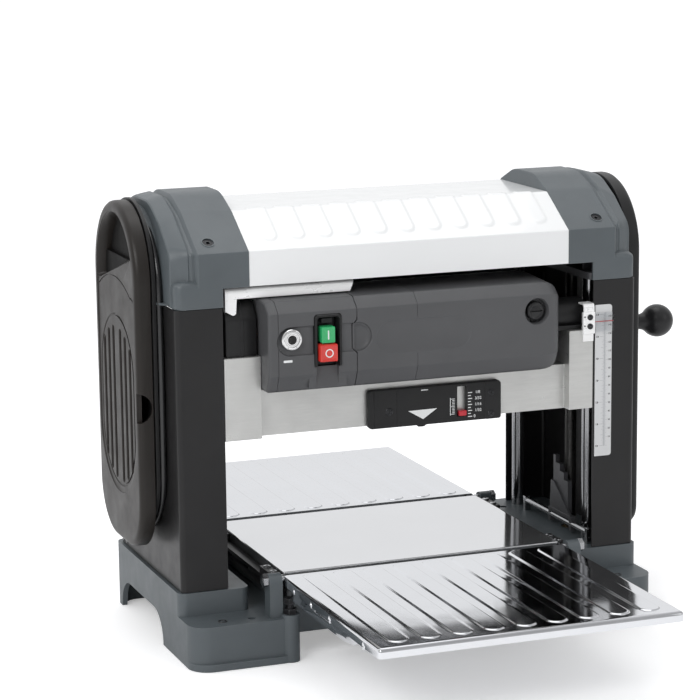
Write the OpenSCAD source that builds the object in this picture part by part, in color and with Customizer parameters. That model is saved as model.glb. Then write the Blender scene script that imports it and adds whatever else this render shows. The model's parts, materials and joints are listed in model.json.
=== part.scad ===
// Bench-top thickness planer: two-column frame, powered cutter head that rises and
// falls on four posts and two lead screws, folding infeed and outfeed tables.
// Origin: on the bench plane, under the centre of the bed. +Y is the feed direction
// (the operator stands on the -Y side), +X is the crank side, +Z is up.

/* [Bed] */
// Width of the bed, which is the widest board the machine takes
bed_w = 330; // [320:1:336]
// Length of the bed along the feed direction
bed_l = 234; // [225:1:236]
// Height of the bed surface above the bench
bed_z = 95; // [94:0.5:96]

/* [Tables] */
// Width of each folding table
table_w = 338; // [334:1:339]
// Distance from the bed centre to the free edge of a table
table_end = 411; // [360:1:430]
// Number of pressed ribs in each table
rib_n = 9; // [5:1:9]
// Height that the ribs stand above the table sheet
rib_h = 1.2; // [0.6:0.1:1.6]

/* [Columns] */
// Inner face of each column, from the centre
col_in = 220; // [220:0.5:220.5]
// Outer face of each column, from the centre
col_out = 273; // [272:0.5:274]
// Sheet thickness of the column casings
col_t = 2; // [1.5:0.1:2]
// Top of the column casings
col_top = 387; // [386.5:0.1:387]

/* [Head] */
// Radius of the circle that the knife edges turn on
cut_r = 25; // [24:0.1:25]
// Height of the cutterhead axis above the bench, in the rest position
cut_z = 262; // [262:0.1:263]
// Outer radius of the feed rollers
roller_r = 17; // [15:0.5:17]
// Outer radius of the dust outlet
outlet_r = 50; // [38:1:50]

/* [Lift] */
// Radius of the guide posts
post_r = 8; // [7:0.1:8]
// Radius of the lead screws
screw_r = 7; // [6:0.1:7]
// Radial running clearance of shafts and posts
run_c = 0.05; // [0.02:0.01:0.09]
// Height of the crank shaft axis
crank_z = 423; // [422:0.5:424]
// Radius of the crank knob ball
knob_r = 19.4; // [15:0.1:20]

/* [Base] */
// Overall width of the base casting
base_w = 554; // [548:1:556]
// Distance between the bench bolt holes across the base
bolt_x = 408; // [404:1:410]
// Distance between the bench bolt holes front to back
bolt_y = 244; // [240:1:246]
// Diameter of the bench bolt holes
bolt_d = 9; // [6:0.5:11]

/* [Hidden] */
$fn = 48;

// Upright axes on the right side, as [x, y]
front_post = [238, -43];
rear_post = [228, 130];
posts = [front_post, rear_post];
screw = [240, 8];

// Crosswise axes, as [y, z]
pivot_y = 123;  // table pivot, distance from the bed centre
pivot_z = 90;
motor = [-62, 350];
cutter = [12, cut_z];
roller_z = 236 + roller_r;
infeed = [-38, roller_z];
outfeed = [62, roller_z];
crank = [screw.y, crank_z];
knob = [10, 315];

// Shaft, bearing and fixing radii
pivot_r = 4;
level_r = 4;
journal_r = 5;          // plain ends of the lead screws
screw_bearing_r = 11;
nut_r = 13;
bush_r = 11;
motor_shaft_r = 6;
motor_bearing_r = 13;
cutter_shaft_r = 10;
cutter_bearing_r = 19;
roller_shaft_r = 8;
crank_shaft_r = 8;

// Levels and faces shared by several pieces
base_top = 75.4;
post_bottom = 40;
bearing_bottom = 66;    // lower lead screw bearings
column_front = -90.6;
column_back = 150.7;
frame_top = 412.5;
head_top = 331;
cover_bottom = head_top + 0.2;  // covers that stand on the head
wall = 3;               // wall of the moulded covers

// Colours used by more than one node
black = [0.1, 0.1, 0.1];
casing_black = [0.13, 0.13, 0.14];
steel = [0.6, 0.6, 0.62];
dull_steel = [0.45, 0.45, 0.47];
shaft_grey = [0.5, 0.5, 0.52];
table_grey = [0.7, 0.71, 0.73];

// ---- helpers ----
module both_sides() {
  children();
  mirror([1, 0, 0]) children();
}
// Box from its low corner to its high corner
module box(low, high) {
  translate(low) cube(high - low);
}
// Rounded rectangle from corner to corner, as true arcs
module round_rect(low, high, r) {
  translate([low.x + r, low.y]) square([high.x - low.x - 2*r, high.y - low.y]);
  translate([low.x, low.y + r]) square([high.x - low.x, high.y - low.y - 2*r]);
  for (x = [low.x + r, high.x - r], y = [low.y + r, high.y - r]) translate([x, y]) circle(r);
}
// Round bars along X, Y and Z; "at" holds the other two coordinates, in axis order
module xbar(x0, x1, at, r) {
  translate([x0, at[0], at[1]]) rotate([0, 90, 0]) cylinder(h = x1 - x0, r = r);
}
module ybar(y0, y1, at, r) {
  translate([at[0], y0, at[1]]) rotate([-90, 0, 0]) cylinder(h = y1 - y0, r = r);
}
module zbar(z0, z1, at, r) {
  translate([at[0], at[1], z0]) cylinder(h = z1 - z0, r = r);
}
module xtube(x0, x1, at, r, bore_r) difference() {
  xbar(x0, x1, at, r);
  xbar(x0 - 1, x1 + 1, at, bore_r);
}
module ztube(z0, z1, at, r, bore_r) difference() {
  zbar(z0, z1, at, r);
  zbar(z0 - 1, z1 + 1, at, bore_r);
}
// Extrude a Y-Z, an X-Z or an X-Y outline between two positions on the third axis
module extrude_x(x0, x1) {
  translate([x0, 0, 0]) rotate([90, 0, 90]) linear_extrude(x1 - x0) children();
}
module extrude_y(y0, y1) {
  translate([0, y1, 0]) rotate([90, 0, 0]) linear_extrude(y1 - y0) children();
}
module extrude_z(z0, z1) {
  translate([0, 0, z0]) linear_extrude(z1 - z0) children();
}

// ---- base and bed ----
base_wall = 6;
foot_low = [151, -139.5];
foot_high = [base_w/2, 165];
foot_top = 49;
plinth_low = [196, -93];   // raised part under a column
plinth_high = [base_w/2, 160];
level_x = 164;             // table levelling bolts
level_y = 134;
level_boss_top = 53;
lug_x = [171.5, 186];      // table pivot lugs
deck_top = 60;

module base_casting() color([0.27, 0.29, 0.31]) {
  inset = [base_wall, base_wall];
  difference() {
    union() {
      both_sides() {
        extrude_z(0, foot_top) round_rect(foot_low, foot_high, 22);
        extrude_z(0, base_top) round_rect(plinth_low, plinth_high, 10);
        // foot flare along the bottom
        extrude_z(0, 8) round_rect(foot_low - [0, 3.5], foot_high + [0, 3], 24);
        // bosses for the table levelling bolts, and lugs for the table pivots
        for (s = [-1, 1]) {
          zbar(0, level_boss_top, [level_x, s*level_y], 10);
          box([lug_x[0], s*pivot_y - 9, 40], [lug_x[1], s*pivot_y + 9, pivot_z - 2]);
          xbar(lug_x[0], lug_x[1], [s*pivot_y, pivot_z - 2], 9);
        }
      }
      // central deck with a skirt at the front and back
      box([-160, -108, 50], [160, 118, deck_top]);
      box([-160, -108, 22], [160, -100, 52]);
      box([-160, 110, 22], [160, 118, 52]);
    }
    both_sides() {
      difference() {
        union() {
          extrude_z(-1, foot_top - base_wall)
            round_rect(foot_low + inset, foot_high - inset, 17);
          extrude_z(-1, 67) round_rect(plinth_low + inset, plinth_high - inset, 7);
        }
        // bosses for posts, lead screw, bench bolts and levelling bolts
        for (p = [front_post, rear_post, screw]) zbar(-2, 80, p, 15);
        for (s = [-1, 1]) {
          zbar(-2, 80, [bolt_x/2, s*bolt_y/2], 11);
          zbar(-2, 80, [level_x, s*level_y], 10);
        }
      }
      for (p = posts) zbar(post_bottom, 80, p, post_r);
      zbar(bearing_bottom, 80, screw, screw_bearing_r);
      zbar(50, 80, screw, 6);
      for (s = [-1, 1]) {
        zbar(-1, 80, [bolt_x/2, s*bolt_y/2], bolt_d/2);
        zbar(30, 80, [level_x, s*level_y], level_r);
        xbar(160, 190, [s*pivot_y, pivot_z], pivot_r);
      }
      // arch in the outer side wall
      extrude_x(base_w/2 - 10, base_w/2 + 5) round_rect([-27, -40], [140, 35], 34);
      // opening towards the centre, under the deck
      box([140, -80, -1], [175, 90, 22]);
    }
  }
}

plate_t = 1.5;     // sheet of the bed plate
plate_skirt = 22;  // depth of its folded edges

module bed_block(inset, z0, z1)
  box([-bed_w/2 + inset, -bed_l/2 + inset, z0], [bed_w/2 - inset, bed_l/2 - inset, z1]);
module bed_casting() color([0.35, 0.36, 0.37]) difference() {
  union() {
    bed_block(plate_t, 85, bed_z - plate_t);
    // outer walls
    for (s = [-1, 1]) {
      box([-158, s*100 - 4, deck_top], [158, s*100 + 4, 86]);
      box([s*154 - 4, -104, deck_top], [s*154 + 4, 104, 86]);
    }
    // ribs
    for (x = [-90, 0, 90]) box([x - 3, -100, 66], [x + 3, 100, 86]);
    box([-154, -3, 66], [154, 3, 86]);
  }
  for (x = [-130, 130], y = [-90, 90]) zbar(50, 84, [x, y], 3);
}
module bed_plate() color([0.78, 0.79, 0.8]) difference() {
  bed_block(0, bed_z - plate_skirt, bed_z);
  bed_block(plate_t, bed_z - plate_skirt - 1, bed_z - plate_t);
}

// ---- columns and lift guides ----
cover_post_y = 40;          // screws and standoffs of the side covers
cover_post_z = [190, 320];

module cover_posts(x0, x1, r) {
  for (z = cover_post_z) xbar(x0, x1, [cover_post_y, z], r);
}
module column() color(casing_black) difference() {
  extrude_z(base_top, col_top) round_rect([col_in - 6, column_front], [col_out, column_back], 6);
  extrude_z(70, col_top + 1)
    round_rect([col_in - 5, column_front + col_t], [col_out - col_t, column_back - col_t], 4);
  // open inner side
  box([col_in - 10, -95, 70], [col_in, 160, 400]);
  box([col_in - 10, -82, 70], [col_in + 5, 142, 400]);
  cover_posts(col_out - 4, col_out + 1, 3);
}
module left_column() mirror([1, 0, 0]) column();
module right_column() column();
module guide_posts() color([0.75, 0.76, 0.78]) both_sides()
  for (p = posts) zbar(post_bottom, 395, p, post_r);
module top_plates() color([0.3, 0.3, 0.32]) both_sides() difference() {
  extrude_z(col_top, col_top + 8) round_rect([col_in - 4, -86.5], [col_out - 3.4, 148], 6);
  for (p = posts) zbar(380, 400, p, post_r);
  zbar(380, 400, screw, screw_bearing_r);
}
module top_frame() color([0.35, 0.35, 0.37]) difference() {
  sheet = 2.5;
  union() {
    box([-262, -60, frame_top - sheet], [262, 126, frame_top]);
    // folded flanges, upwards in the middle and downwards at the ends
    for (y = [-60, 126 - sheet]) {
      box([-190, y, 412], [190, y + sheet, 434]);
      both_sides() box([222, y, 395], [262, y + sheet, 411]);
    }
  }
  both_sides() zbar(400, 420, screw, 24);
  for (x = [-120, 0, 120])
    extrude_z(405, 415) translate([x, 62]) round_rect([-35, -18], [35, 18], 10);
}
// plain bearings of both lead screws, and the pillow blocks of the crank shaft
module lift_bearings() color([0.62, 0.6, 0.5]) both_sides() {
  ztube(bearing_bottom, 74.5, screw, screw_bearing_r, journal_r + run_c);
  ztube(col_top, 396, screw, screw_bearing_r, journal_r + run_c);
  difference() {
    union() {
      box([196, crank[0] - 22, frame_top], [212, crank[0] + 22, 424]);
      xbar(196, 212, crank, 14);
    }
    xbar(190, 220, crank, crank_shaft_r + run_c);
    box([190, -20, 400], [216, 40, frame_top]);
  }
}

// ---- top cover and end caps ----
// The outlines are [y, z] points, moved inwards by about "inset"
module top_outline(inset) polygon([
  [-90 + inset, 408 - inset], [-90 + inset, 446 - inset*0.5],
  [-32 + inset*0.3, 483 - inset], [97.6 - inset*0.3, 483 - inset],
  [156 - inset, 446 - inset*0.5], [156 - inset, 408 - inset]]);
module top_cover() color([0.93, 0.93, 0.93]) difference() {
  extrude_x(-188.8, 188.8) top_outline(0);
  extrude_x(-190, 190) top_outline(wall);
  box([-190, -100, 380], [190, 170, 408]);
}
module cap_outline(inset) polygon([
  [-91 + inset, 380], [-91 + inset, 446 - inset*0.5], [-32 + inset*0.3, 483.5 - inset],
  [-8, 494 - inset], [20, 500 - inset], [45, 500 - inset], [73, 494 - inset],
  [97.6 - inset*0.3, 483.5 - inset], [157 - inset, 446 - inset*0.5], [157 - inset, 380]]);
module shoulder_outline(inset) polygon([
  [-90 + inset, 380], [-90 + inset, 418 - inset], [-76 + inset, 440 - inset],
  [-58 + inset, 466 - inset], [-30, 487 - inset], [15, 494 - inset],
  [55, 494 - inset], [96, 487 - inset], [124 - inset, 466 - inset],
  [142 - inset, 440 - inset], [156 - inset, 418 - inset], [156 - inset, 380]]);

round_top = [39.4, 408.3];  // centre of the side covers' round top, [y, z]
side_in = 286;              // inner edge of the side covers, from the centre
cap_step = 246;             // where the cap steps down to its shoulder

// Seats of the front and rear screws on the right cap, square to its slopes
module at_cap_screws() {
  for (y = [-75, 141])
    translate([230, y, 456]) rotate([y < 0 ? 32 : -32, 0, 0]) children();
}
module end_cap() color([0.29, 0.31, 0.33]) difference() {
  union() {
    difference() {
      union() {
        extrude_x(189, cap_step) cap_outline(0);
        extrude_x(cap_step, col_out) shoulder_outline(0);
        // round boss that carries the side cover
        xbar(col_out - 4, side_in, round_top, 78);
      }
      extrude_x(192, cap_step - wall) cap_outline(wall);
      extrude_x(188, 193) top_outline(wall);
      extrude_x(242, 270) shoulder_outline(wall);
      // clear of the head, and open over the column
      box([180, -100, 320], [col_in - 1, 170, 408]);
      box([180, -100, 320], [300, 170, col_top]);
    }
    // screw bosses
    at_cap_screws() translate([0, 0, -14]) cylinder(h = 12, r = 9);
  }
  at_cap_screws() {
    translate([0, 0, -4]) cylinder(h = 20, r = 6);
    translate([0, 0, -20]) cylinder(h = 30, r = 3);
  }
}
module left_end_cap() mirror([1, 0, 0]) end_cap();
module right_end_cap() difference() {
  end_cap();
  xbar(250, 300, crank, 10);
}
// Socket-head screw with its head on top of the origin
module socket_screw(r, head_r, head_h, length) difference() {
  union() {
    cylinder(h = head_h, r = head_r);
    translate([0, 0, -length]) cylinder(h = length, r = r);
  }
  translate([0, 0, head_h*0.4]) cylinder(h = head_r, r = head_r*0.42, $fn = 6);
}
module cap_screws() color(black) both_sides() at_cap_screws()
  translate([0, 0, -4]) socket_screw(r = 2.9, head_r = 5.8, head_h = 3.6, length = 13);

// ---- side covers and cord ----
side_face = 300;    // where the chamfer step of the side covers starts
side_out = 303.5;
side_step = side_out - side_face;

// Tall outline with a round top and rounded lower corners
module tall_outline(bottom, top_r, corner_r, inset = 0) {
  half = top_r - inset;
  translate(round_top) circle(half, $fn = 96);
  round_rect([round_top[0] - half, bottom + inset],
    [round_top[0] + half, round_top[1] + corner_r], corner_r);
}
module side_cover_shell(bottom, corner_r) difference() {
  top_r = 83.7;
  union() {
    extrude_x(side_in, side_face) tall_outline(bottom, top_r, corner_r);
    extrude_x(side_face, side_out)
      tall_outline(bottom, top_r, corner_r - side_step, side_step);
    cover_posts(col_out, 290, 8);
  }
  difference() {
    extrude_x(285, side_face - wall) tall_outline(bottom, top_r, corner_r - wall, wall);
    cover_posts(270, 303, 8);
  }
  cover_posts(270, 298, 3);
}
// Carrying recess: the part of a disc above a level line
module grip_outline(grow) intersection() {
  translate([36, round_top[1]]) circle(69 + grow, $fn = 64);
  translate([-60, 416 - grow]) square([200, 90 + 2*grow]);
}
module panel_outline() {
  for (z = [300, 232]) translate([round_top[0], z]) circle(67, $fn = 64);
  translate([round_top[0] - 61, 232]) square([122, 68]);
}
module left_side_cover() color([0.17, 0.16, 0.16]) mirror([1, 0, 0]) difference() {
  union() {
    side_cover_shell(107.4, 60);
    // rim of the carrying recess
    extrude_x(side_in, side_out) difference() {
      grip_outline(4);
      grip_outline(0);
    }
    extrude_x(303, 304) panel_outline();
  }
  extrude_x(280, 310) grip_outline(0);
  // upright grooves in the lower panel, shorter towards the edges
  for (i = [-2:2])
    extrude_x(302.5, 306) translate([round_top[0] + i*22, 0])
      round_rect([-5, 190], [5, 352 - abs(i)*9], 4.9);
  xbar(294, 310, [-44.3, 270], 16);
}
module right_side_cover() color(casing_black) difference() {
  side_cover_shell(81, 25);
  xbar(280, 310, crank, 12);
}
module cord_wrap_plate() color([0.12, 0.12, 0.13]) difference() {
  extrude_x(-285, -281) difference() {
    tall_outline(134, 86, 60);
    tall_outline(160, 60, 34);
  }
  xbar(-290, -270, round_top, 79);
  cover_posts(-290, -270, 9);
}

cord_r = 3.4;
cord_x = -277;
wind_r = 66;          // half width of the wound cord
wind_z = [200, 314];  // centres of its end bends

// mains cord wound behind the side cover, with its moulded plug
module power_cord() color([0.06, 0.06, 0.06]) {
  for (s = [-1, 1]) zbar(wind_z[0], wind_z[1], [cord_x, cover_post_y + s*wind_r], cord_r);
  for (i = [0, 1])
    translate([cord_x, cover_post_y, wind_z[i]])
      rotate([0, -90, 0]) rotate([0, 0, i == 1 ? -90 : 90])
        rotate_extrude(angle = 180) translate([wind_r, 0]) circle(cord_r);
  zbar(122, 240, [cord_x, 113.2], cord_r);
  box([-280.6, 101, 98], [-273.6, 125, 124]);
  // plug blades
  for (y = [104, 118]) box([-279, y, 84], [-277.4, y + 4, 100]);
}

// ---- tables ----
table_inner = -120;      // edge of the infeed table nearest the bed
table_sheet = 2;
table_top = bed_z - rib_h;
rib_pitch = 35;

// The infeed table
module table() difference() {
  side = table_w/2;
  union() {
    box([-side, -table_end, table_top - table_sheet], [side, table_inner, table_top]);
    // folded lip at the free edge
    box([-side, -table_end, bed_z - 12], [side, -table_end + table_sheet, table_top]);
    both_sides() {
      // side flange, deeper towards the hinge, and hinge ear
      box([side - table_sheet, -table_end, bed_z - 12], [side, table_inner, table_top]);
      box([side - table_sheet, -table_end + 60, bed_z - 24], [side, -113.5, table_top - 0.2]);
      xbar(side - table_sheet, side, [-pivot_y, pivot_z], 6.4);
    }
    // pressed ribs
    for (i = [0:rib_n - 1])
      translate([(i - (rib_n - 1)/2)*rib_pitch, 0, 0])
        extrude_z(table_top - 0.5, bed_z) round_rect([-12, -398], [12, -132], 11.9);
  }
  xbar(-200, 200, [-pivot_y, pivot_z], pivot_r + run_c);
  both_sides() box([side - 3, -118, 60], [side + 1, -100, 85]);
}
module infeed_table() color(table_grey) table();
module outfeed_table() color(table_grey) mirror([0, 1, 0]) table();
// black rails along both sides of the bed, with raised end plates
module bed_rails() color(black) both_sides() difference() {
  rail_in = 165.2;
  rail_out = 177;
  union() {
    box([rail_in, -112, 80], [rail_out, 112, 84]);
    box([rail_in, -112, 62], [168, 112, 84]);
    for (s = [-1, 1]) box([rail_in, s*91 - 20, 83], [rail_out, s*91 + 20, 92]);
  }
  for (s = [-1, 1], y = [80, 102]) zbar(70, 100, [171.5, s*y], 2.6);
  for (y = [-60, 0, 60]) xbar(160, 180, [y, 72], 3);
}
module table_pivot_bolts() color(dull_steel) for (s = [-1, 1]) both_sides() {
  xbar(166, 192, [s*pivot_y, pivot_z], pivot_r);
  xbar(lug_x[1] + 0.2, lug_x[1] + 5.7, [s*pivot_y, pivot_z], 7.5, $fn = 6);
}
// each has a lock nut on its boss and a hexagon head
module table_level_bolts() color([0.3, 0.3, 0.31]) for (s = [-1, 1]) both_sides() {
  at = [level_x, s*level_y];
  zbar(34, 66, at, level_r);
  zbar(level_boss_top, level_boss_top + 6, at, 7.5, $fn = 6);
  zbar(65, 70.8, at, 7, $fn = 6);
}

// ---- depth stop, in the right column ----
stop_axis = [224.5, 88];  // [x, z]
stop_rod_r = 3.5;

module depth_stop_rod() color([0.7, 0.7, 0.72]) {
  ybar(-76, 100, stop_axis, stop_rod_r);
  // end brackets
  for (y = [-76, 94]) difference() {
    box([221, y, base_top], [228, y + 6, 93]);
    ybar(y - 1, y + 7, stop_axis, stop_rod_r);
  }
}
module depth_stop_block() color([0.22, 0.22, 0.22]) difference() {
  union() {
    for (y = [-32, 24]) box([221.2, y, 80], [228.6, y + 5, 96]);
    box([221.2, -32, 92.5], [228.6, 29, 97]);
    extrude_x(222, 225) polygon([[-30, 96], [27, 96], [24, 130], [16, 130]]);
    // steps
    for (i = [0:3]) box([224.5, -17 + i*11, 96], [230, 22, 136 + i*8.5]);
  }
  ybar(-60, 60, stop_axis, stop_rod_r + run_c);
}

// ---- scale, with its graduations cut in ----
tick_pitch = 6.35;

module height_scale() color([0.92, 0.92, 0.92]) difference() {
  extrude_y(column_front - 1.2, column_front) round_rect([222, 183], [243, 358.6], 3);
  for (i = [0:24]) {
    tick_w = i % 4 == 0 ? 7 : (i % 2 == 0 ? 5 : 3);
    tick_z = 193.6 + i*tick_pitch;
    box([223, -92, tick_z], [223 + tick_w, -91.6, tick_z + 0.6]);
  }
}

// ---- cutter head ----
head_front = -91;
head_back = 118;
head_bottom = 240;
head_out = 219.5;       // outer face of both blocks
block_half = 12;        // half width of the roller blocks along Y

module head_casting() color([0.78, 0.78, 0.77]) difference() {
  union() {
    // left block, a box that also holds the belt, and right block
    box([-head_out, head_front, head_bottom], [-178, head_back, head_top]);
    box([190, head_front, head_bottom], [head_out, head_back, head_top]);
    // front and rear bars
    box([-179, -78, head_bottom], [191, -70, 280]);
    box([-179, 100, 250], [191, 108, 290]);
    // deck over the rollers and under the motor
    box([-179, -78, 284], [191, -60, 291]);
    box([-179, -78, 278], [191, -72, 291]);
    // arms into the columns
    both_sides() difference() {
      union() {
        box([218, -76, 305], [262, 138, head_top]);
        for (p = posts) zbar(290, head_top, p, 13);
      }
      for (p = posts) zbar(280, 340, p, bush_r);
      zbar(280, 340, screw, nut_r);
      // lightening slots
      extrude_z(300, 340) round_rect([232, -25], [256, -12], 4);
      extrude_z(300, 340) round_rect([232, 30], [256, 106], 4);
    }
  }
  // belt space
  box([-213, -84, 230], [-184, 80, 340]);
  // space in the right block for the feed drive
  box([196, -84, 230], [221, 100, 318]);
  // bearing seats
  xbar(-190, -170, cutter, cutter_bearing_r);
  xbar(180, 200, cutter, cutter_bearing_r);
  // roller block windows, open at the bottom
  for (y = [infeed[0], outfeed[0]], x = [-185, 189])
    box([x, y - block_half - 0.1, 230], [x + 8, y + block_half + 0.1, 284]);
}
// ball bearings of the motor shaft and the cutterhead
module head_bearings() color(steel) {
  xtube(-144, -135, motor, motor_bearing_r, motor_shaft_r + run_c);
  xtube(162, 170, motor, motor_bearing_r, motor_shaft_r + run_c);
  xtube(-184, -172, cutter, cutter_bearing_r, cutter_shaft_r + run_c);
  xtube(184, 196, cutter, cutter_bearing_r, cutter_shaft_r + run_c);
}
module lift_nuts() color([0.7, 0.55, 0.25]) both_sides()
  ztube(306, 333, screw, nut_r, screw_r + run_c);
module post_bushes() color([0.65, 0.55, 0.35]) both_sides()
  for (p = posts) ztube(290, 332, p, bush_r, post_r + run_c);

// ---- motor ----
reset_at = [-152, 352];        // reset button, [x, z]
reset_hole_r = 6;
brush_x = 138;
front_brush = [brush_x, 359];  // brush caps, [x, z]
rear_brush = [brush_x, 341];
brush_cap_r = 8;
commutator_r = 17;

module motor_outline(inset) polygon([
  [-117 + inset, 380 - inset*0.4], [-104 + inset*0.5, 392 - inset],
  [-34 - inset*0.5, 396 - inset], [-22 - inset, 384 - inset],
  [-22 - inset, 306 + inset], [-32 - inset*0.4, 293 + inset],
  [-108 + inset*0.6, 293 + inset], [-117 + inset, 312 + inset*0.3]]);
module switch_outline(inset)
  round_rect([-126 + inset, 319 + inset], [-94 - inset, 377 - inset], 4 - inset);
module motor_housing() color([0.3, 0.3, 0.31]) difference() {
  extrude_x(-177.5, 170) motor_outline(0);
  // motor space and pulley-end space, with a bearing wall between them
  extrude_x(-136, 167) motor_outline(wall);
  extrude_x(-174, -142) motor_outline(wall);
  xbar(-180, -170, motor, 14);
  xbar(-145, -130, motor, motor_bearing_r);
  xbar(160, 175, motor, motor_bearing_r);
  // vents in the right end, behind the shaft
  for (i = [-3:3]) box([166, -44, motor[1] + i*9 - 2], [172, -28, motor[1] + i*9 + 2]);
  // switch opening, reset well, brush openings
  extrude_y(-120, -110) switch_outline(0);
  ybar(-120, -108, reset_at, reset_hole_r);
  ybar(-120, -113, front_brush, brush_cap_r + 0.1);
  ybar(-26, -20, rear_brush, brush_cap_r + 0.1);
}
module motor_stator() color([0.45, 0.3, 0.2]) {
  xtube(-30, 90, motor, 36, 26.5);
  // winding ends
  for (a = [0:30:330])
    translate([0, motor[0], motor[1]]) rotate([a, 0, 0])
      for (x = [-42, 89]) box([x, -3, 29], [x + 13, 3, 35]);
}
// screw-in cap, slotted on the outside, with its outer face at the origin
module brush_cap() rotate([-90, 0, 0]) difference() {
  cylinder(h = 6.5, r = brush_cap_r);
  translate([0, 0, -1]) cylinder(h = 2.5, r = 5.5);
  translate([-5.6, -0.9, -1]) cube([11.2, 1.8, 3.6]);
}
// two sets, each a cap and a carbon brush that reaches to the commutator
module motor_brushes() color([0.05, 0.05, 0.05]) {
  reach = commutator_r + 0.2;
  translate([brush_x, -119.5, front_brush[1]]) brush_cap();
  box([brush_x - 3.5, -112.8, 347], [brush_x + 3.5, motor[0] - reach, 355]);
  translate([brush_x, -20.5, rear_brush[1]]) mirror([0, 1, 0]) brush_cap();
  box([brush_x - 3.5, motor[0] + reach, 345], [brush_x + 3.5, -27.2, 353]);
}

// ---- belt and chain ----
pulley_x = [-207, -193];
motor_pulley_r = 12.3;
cutter_pulley_r = 17.3;
belt_gap = 0.3;

// [y, z] points of the cover and of its inside
belt_outer = [[-86, cover_bottom], [-86, 372], [-74, 391], [-48, 391], [-30, 376],
  [62, 334], [62, cover_bottom]];
belt_inner = [[-83, 320], [-83, 371], [-73, 388], [-49, 388], [-32, 373],
  [59, 333], [59, 320]];

module belt_cover() {
  color([0.12, 0.12, 0.12]) difference() {
    extrude_x(-216, -180) polygon(belt_outer);
    extrude_x(-213, -183) polygon(belt_inner);
    xbar(-190, -170, motor, 14);
  }
  // bent sheet bridge along the top of the motor
  color([0.8, 0.8, 0.8]) {
    box([-215.5, -86, 394.6], [-66, -84, 407]);
    box([-215.5, -86, 405], [-66, -64, 407]);
    box([-215.5, -86, 378], [-203, -84, 396]);
    box([-215.5, -86, 378], [-213.6, -64, 407]);
  }
}
// Flat loop 2 thick around two round wheels, given by centre and radius
module loop_outline(at1, at2, r1, r2) difference() {
  hull() {
    translate(at1) circle(r = r1 + 2);
    translate(at2) circle(r = r2 + 2);
  }
  hull() {
    translate(at1) circle(r = r1);
    translate(at2) circle(r = r2);
  }
}
module drive_belt() color([0.08, 0.08, 0.08]) extrude_x(-206, -194)
  loop_outline(motor, cutter, motor_pulley_r + belt_gap, cutter_pulley_r + belt_gap);
// slack enough for both sprockets to rise with their rollers
module feed_chain() color([0.3, 0.3, 0.3]) extrude_x(201, 206)
  loop_outline(infeed + [0, 1.25], outfeed + [0, 1.25], 13.5, 13.5);
module gear_cover() color([0.09, 0.09, 0.09]) difference() {
  axis = motor - [0, 4];
  union() {
    xbar(171, 216, axis, 19);
    box([171, -84, cover_bottom], [216, -20, 336]);
  }
  xbar(170.5, 213, axis, 16);
  box([170, -90, 300], [220, 0, cover_bottom]);
}

// ---- controls on the front of the motor housing ----
module switch_bezel() color([0.07, 0.07, 0.07]) difference() {
  extrude_y(-119, -104) switch_outline(0.2);
  extrude_y(-125, -106) round_rect([-122.6, 322.5], [-97.4, 373.5], 2);
}
module start_button() color([0.1, 0.65, 0.3]) difference() {
  extrude_y(-122.5, -109.6) round_rect([-119, 345.6], [-103, 363.6], 1.2);
  box([-111.8, -123, 350], [-110.4, -122, 359]);
}
module stop_button() color([0.85, 0.12, 0.12]) difference() {
  extrude_y(-124.5, -109.6) round_rect([-121.6, 325.4], [-101, 344.8], 1.2);
  ybar(-126, -124, [-110, 336.5], 4.6);
}
module reset_ring() color([0.85, 0.85, 0.85]) difference() {
  union() {
    ybar(-121, -117, reset_at, 11.5);
    ybar(-117, -108.5, reset_at, reset_hole_r - 0.05);
  }
  ybar(-130, -107, reset_at, 3.9);
}
module reset_button() color([0.1, 0.08, 0.07]) ybar(-123, -109.5, reset_at, 3.85);

// ---- dust hood, gauge and scale pointer ----
outlet = [110, 345];  // dust outlet axis, [x, z]

module dust_hood() color(black) difference() {
  union() {
    box([-172, 40, 293], [186, 116, 338]);
    ybar(110, 147, outlet, outlet_r);
    extrude_x(-165, 170) polygon([[44, 337], [60, 388], [104, 396], [116, 396], [116, 337]]);
  }
  box([-169, 43, 290], [183, 112, 335]);
  extrude_x(-161, 166) polygon([[49, 334], [63, 384], [104, 389], [112, 389], [112, 334]]);
  ybar(100, 150, outlet, outlet_r - 3);
}
module gauge_plate() color([0.09, 0.09, 0.1]) difference() {
  extrude_y(-85, -78) round_rect([-52, 237], [108, 281], 4);
  // slot for the pointer
  extrude_y(-90, -70) round_rect([56, 243], [66.5, 277], 1);
  // channels for the foot and its link
  box([6, -82, 230], [21, -77, 264]);
  box([20, -82, 246], [66, -77, 254]);
  for (at = [[96, 245], [96, 268], [-26, 257]]) ybar(-90, -83, at, 2.5);
}
module gauge_foot() color(black) {
  box([7.5, -81.5, 234.4], [19.5, -78.5, 257]);
  box([10, -81.5, 249], [17, -79, 258]);
}
module gauge_pointer() color([0.8, 0.1, 0.12]) box([56.6, -86.4, 243.5], [65.9, -78.4, 249.5]);
module scale_pointer() color([0.8, 0.8, 0.82]) {
  screws = [[216.5, 336], [216.5, 350]];
  difference() {
    box([206, -94.5, 328], [221.5, -91.2, 358]);
    for (at = screws) ybar(-96, -90, at, 1.6);
  }
  box([206, -91.4, 312], [219.5, -91, 358]);
  for (at = screws) ybar(-96.5, -92, at, 1.6);
  box([221.5, -94, 328], [244, -92.6, 358]);
}

// ---- rollers ----
module roller_blocks(at) color([0.25, 0.25, 0.26]) for (x = [-184.5, 189.5]) difference() {
  box([x, at[0] - block_half, at[1] - 13], [x + 7, at[0] + block_half, at[1] + 14]);
  xbar(x - 1, x + 8, at, roller_shaft_r + run_c);
}
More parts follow.
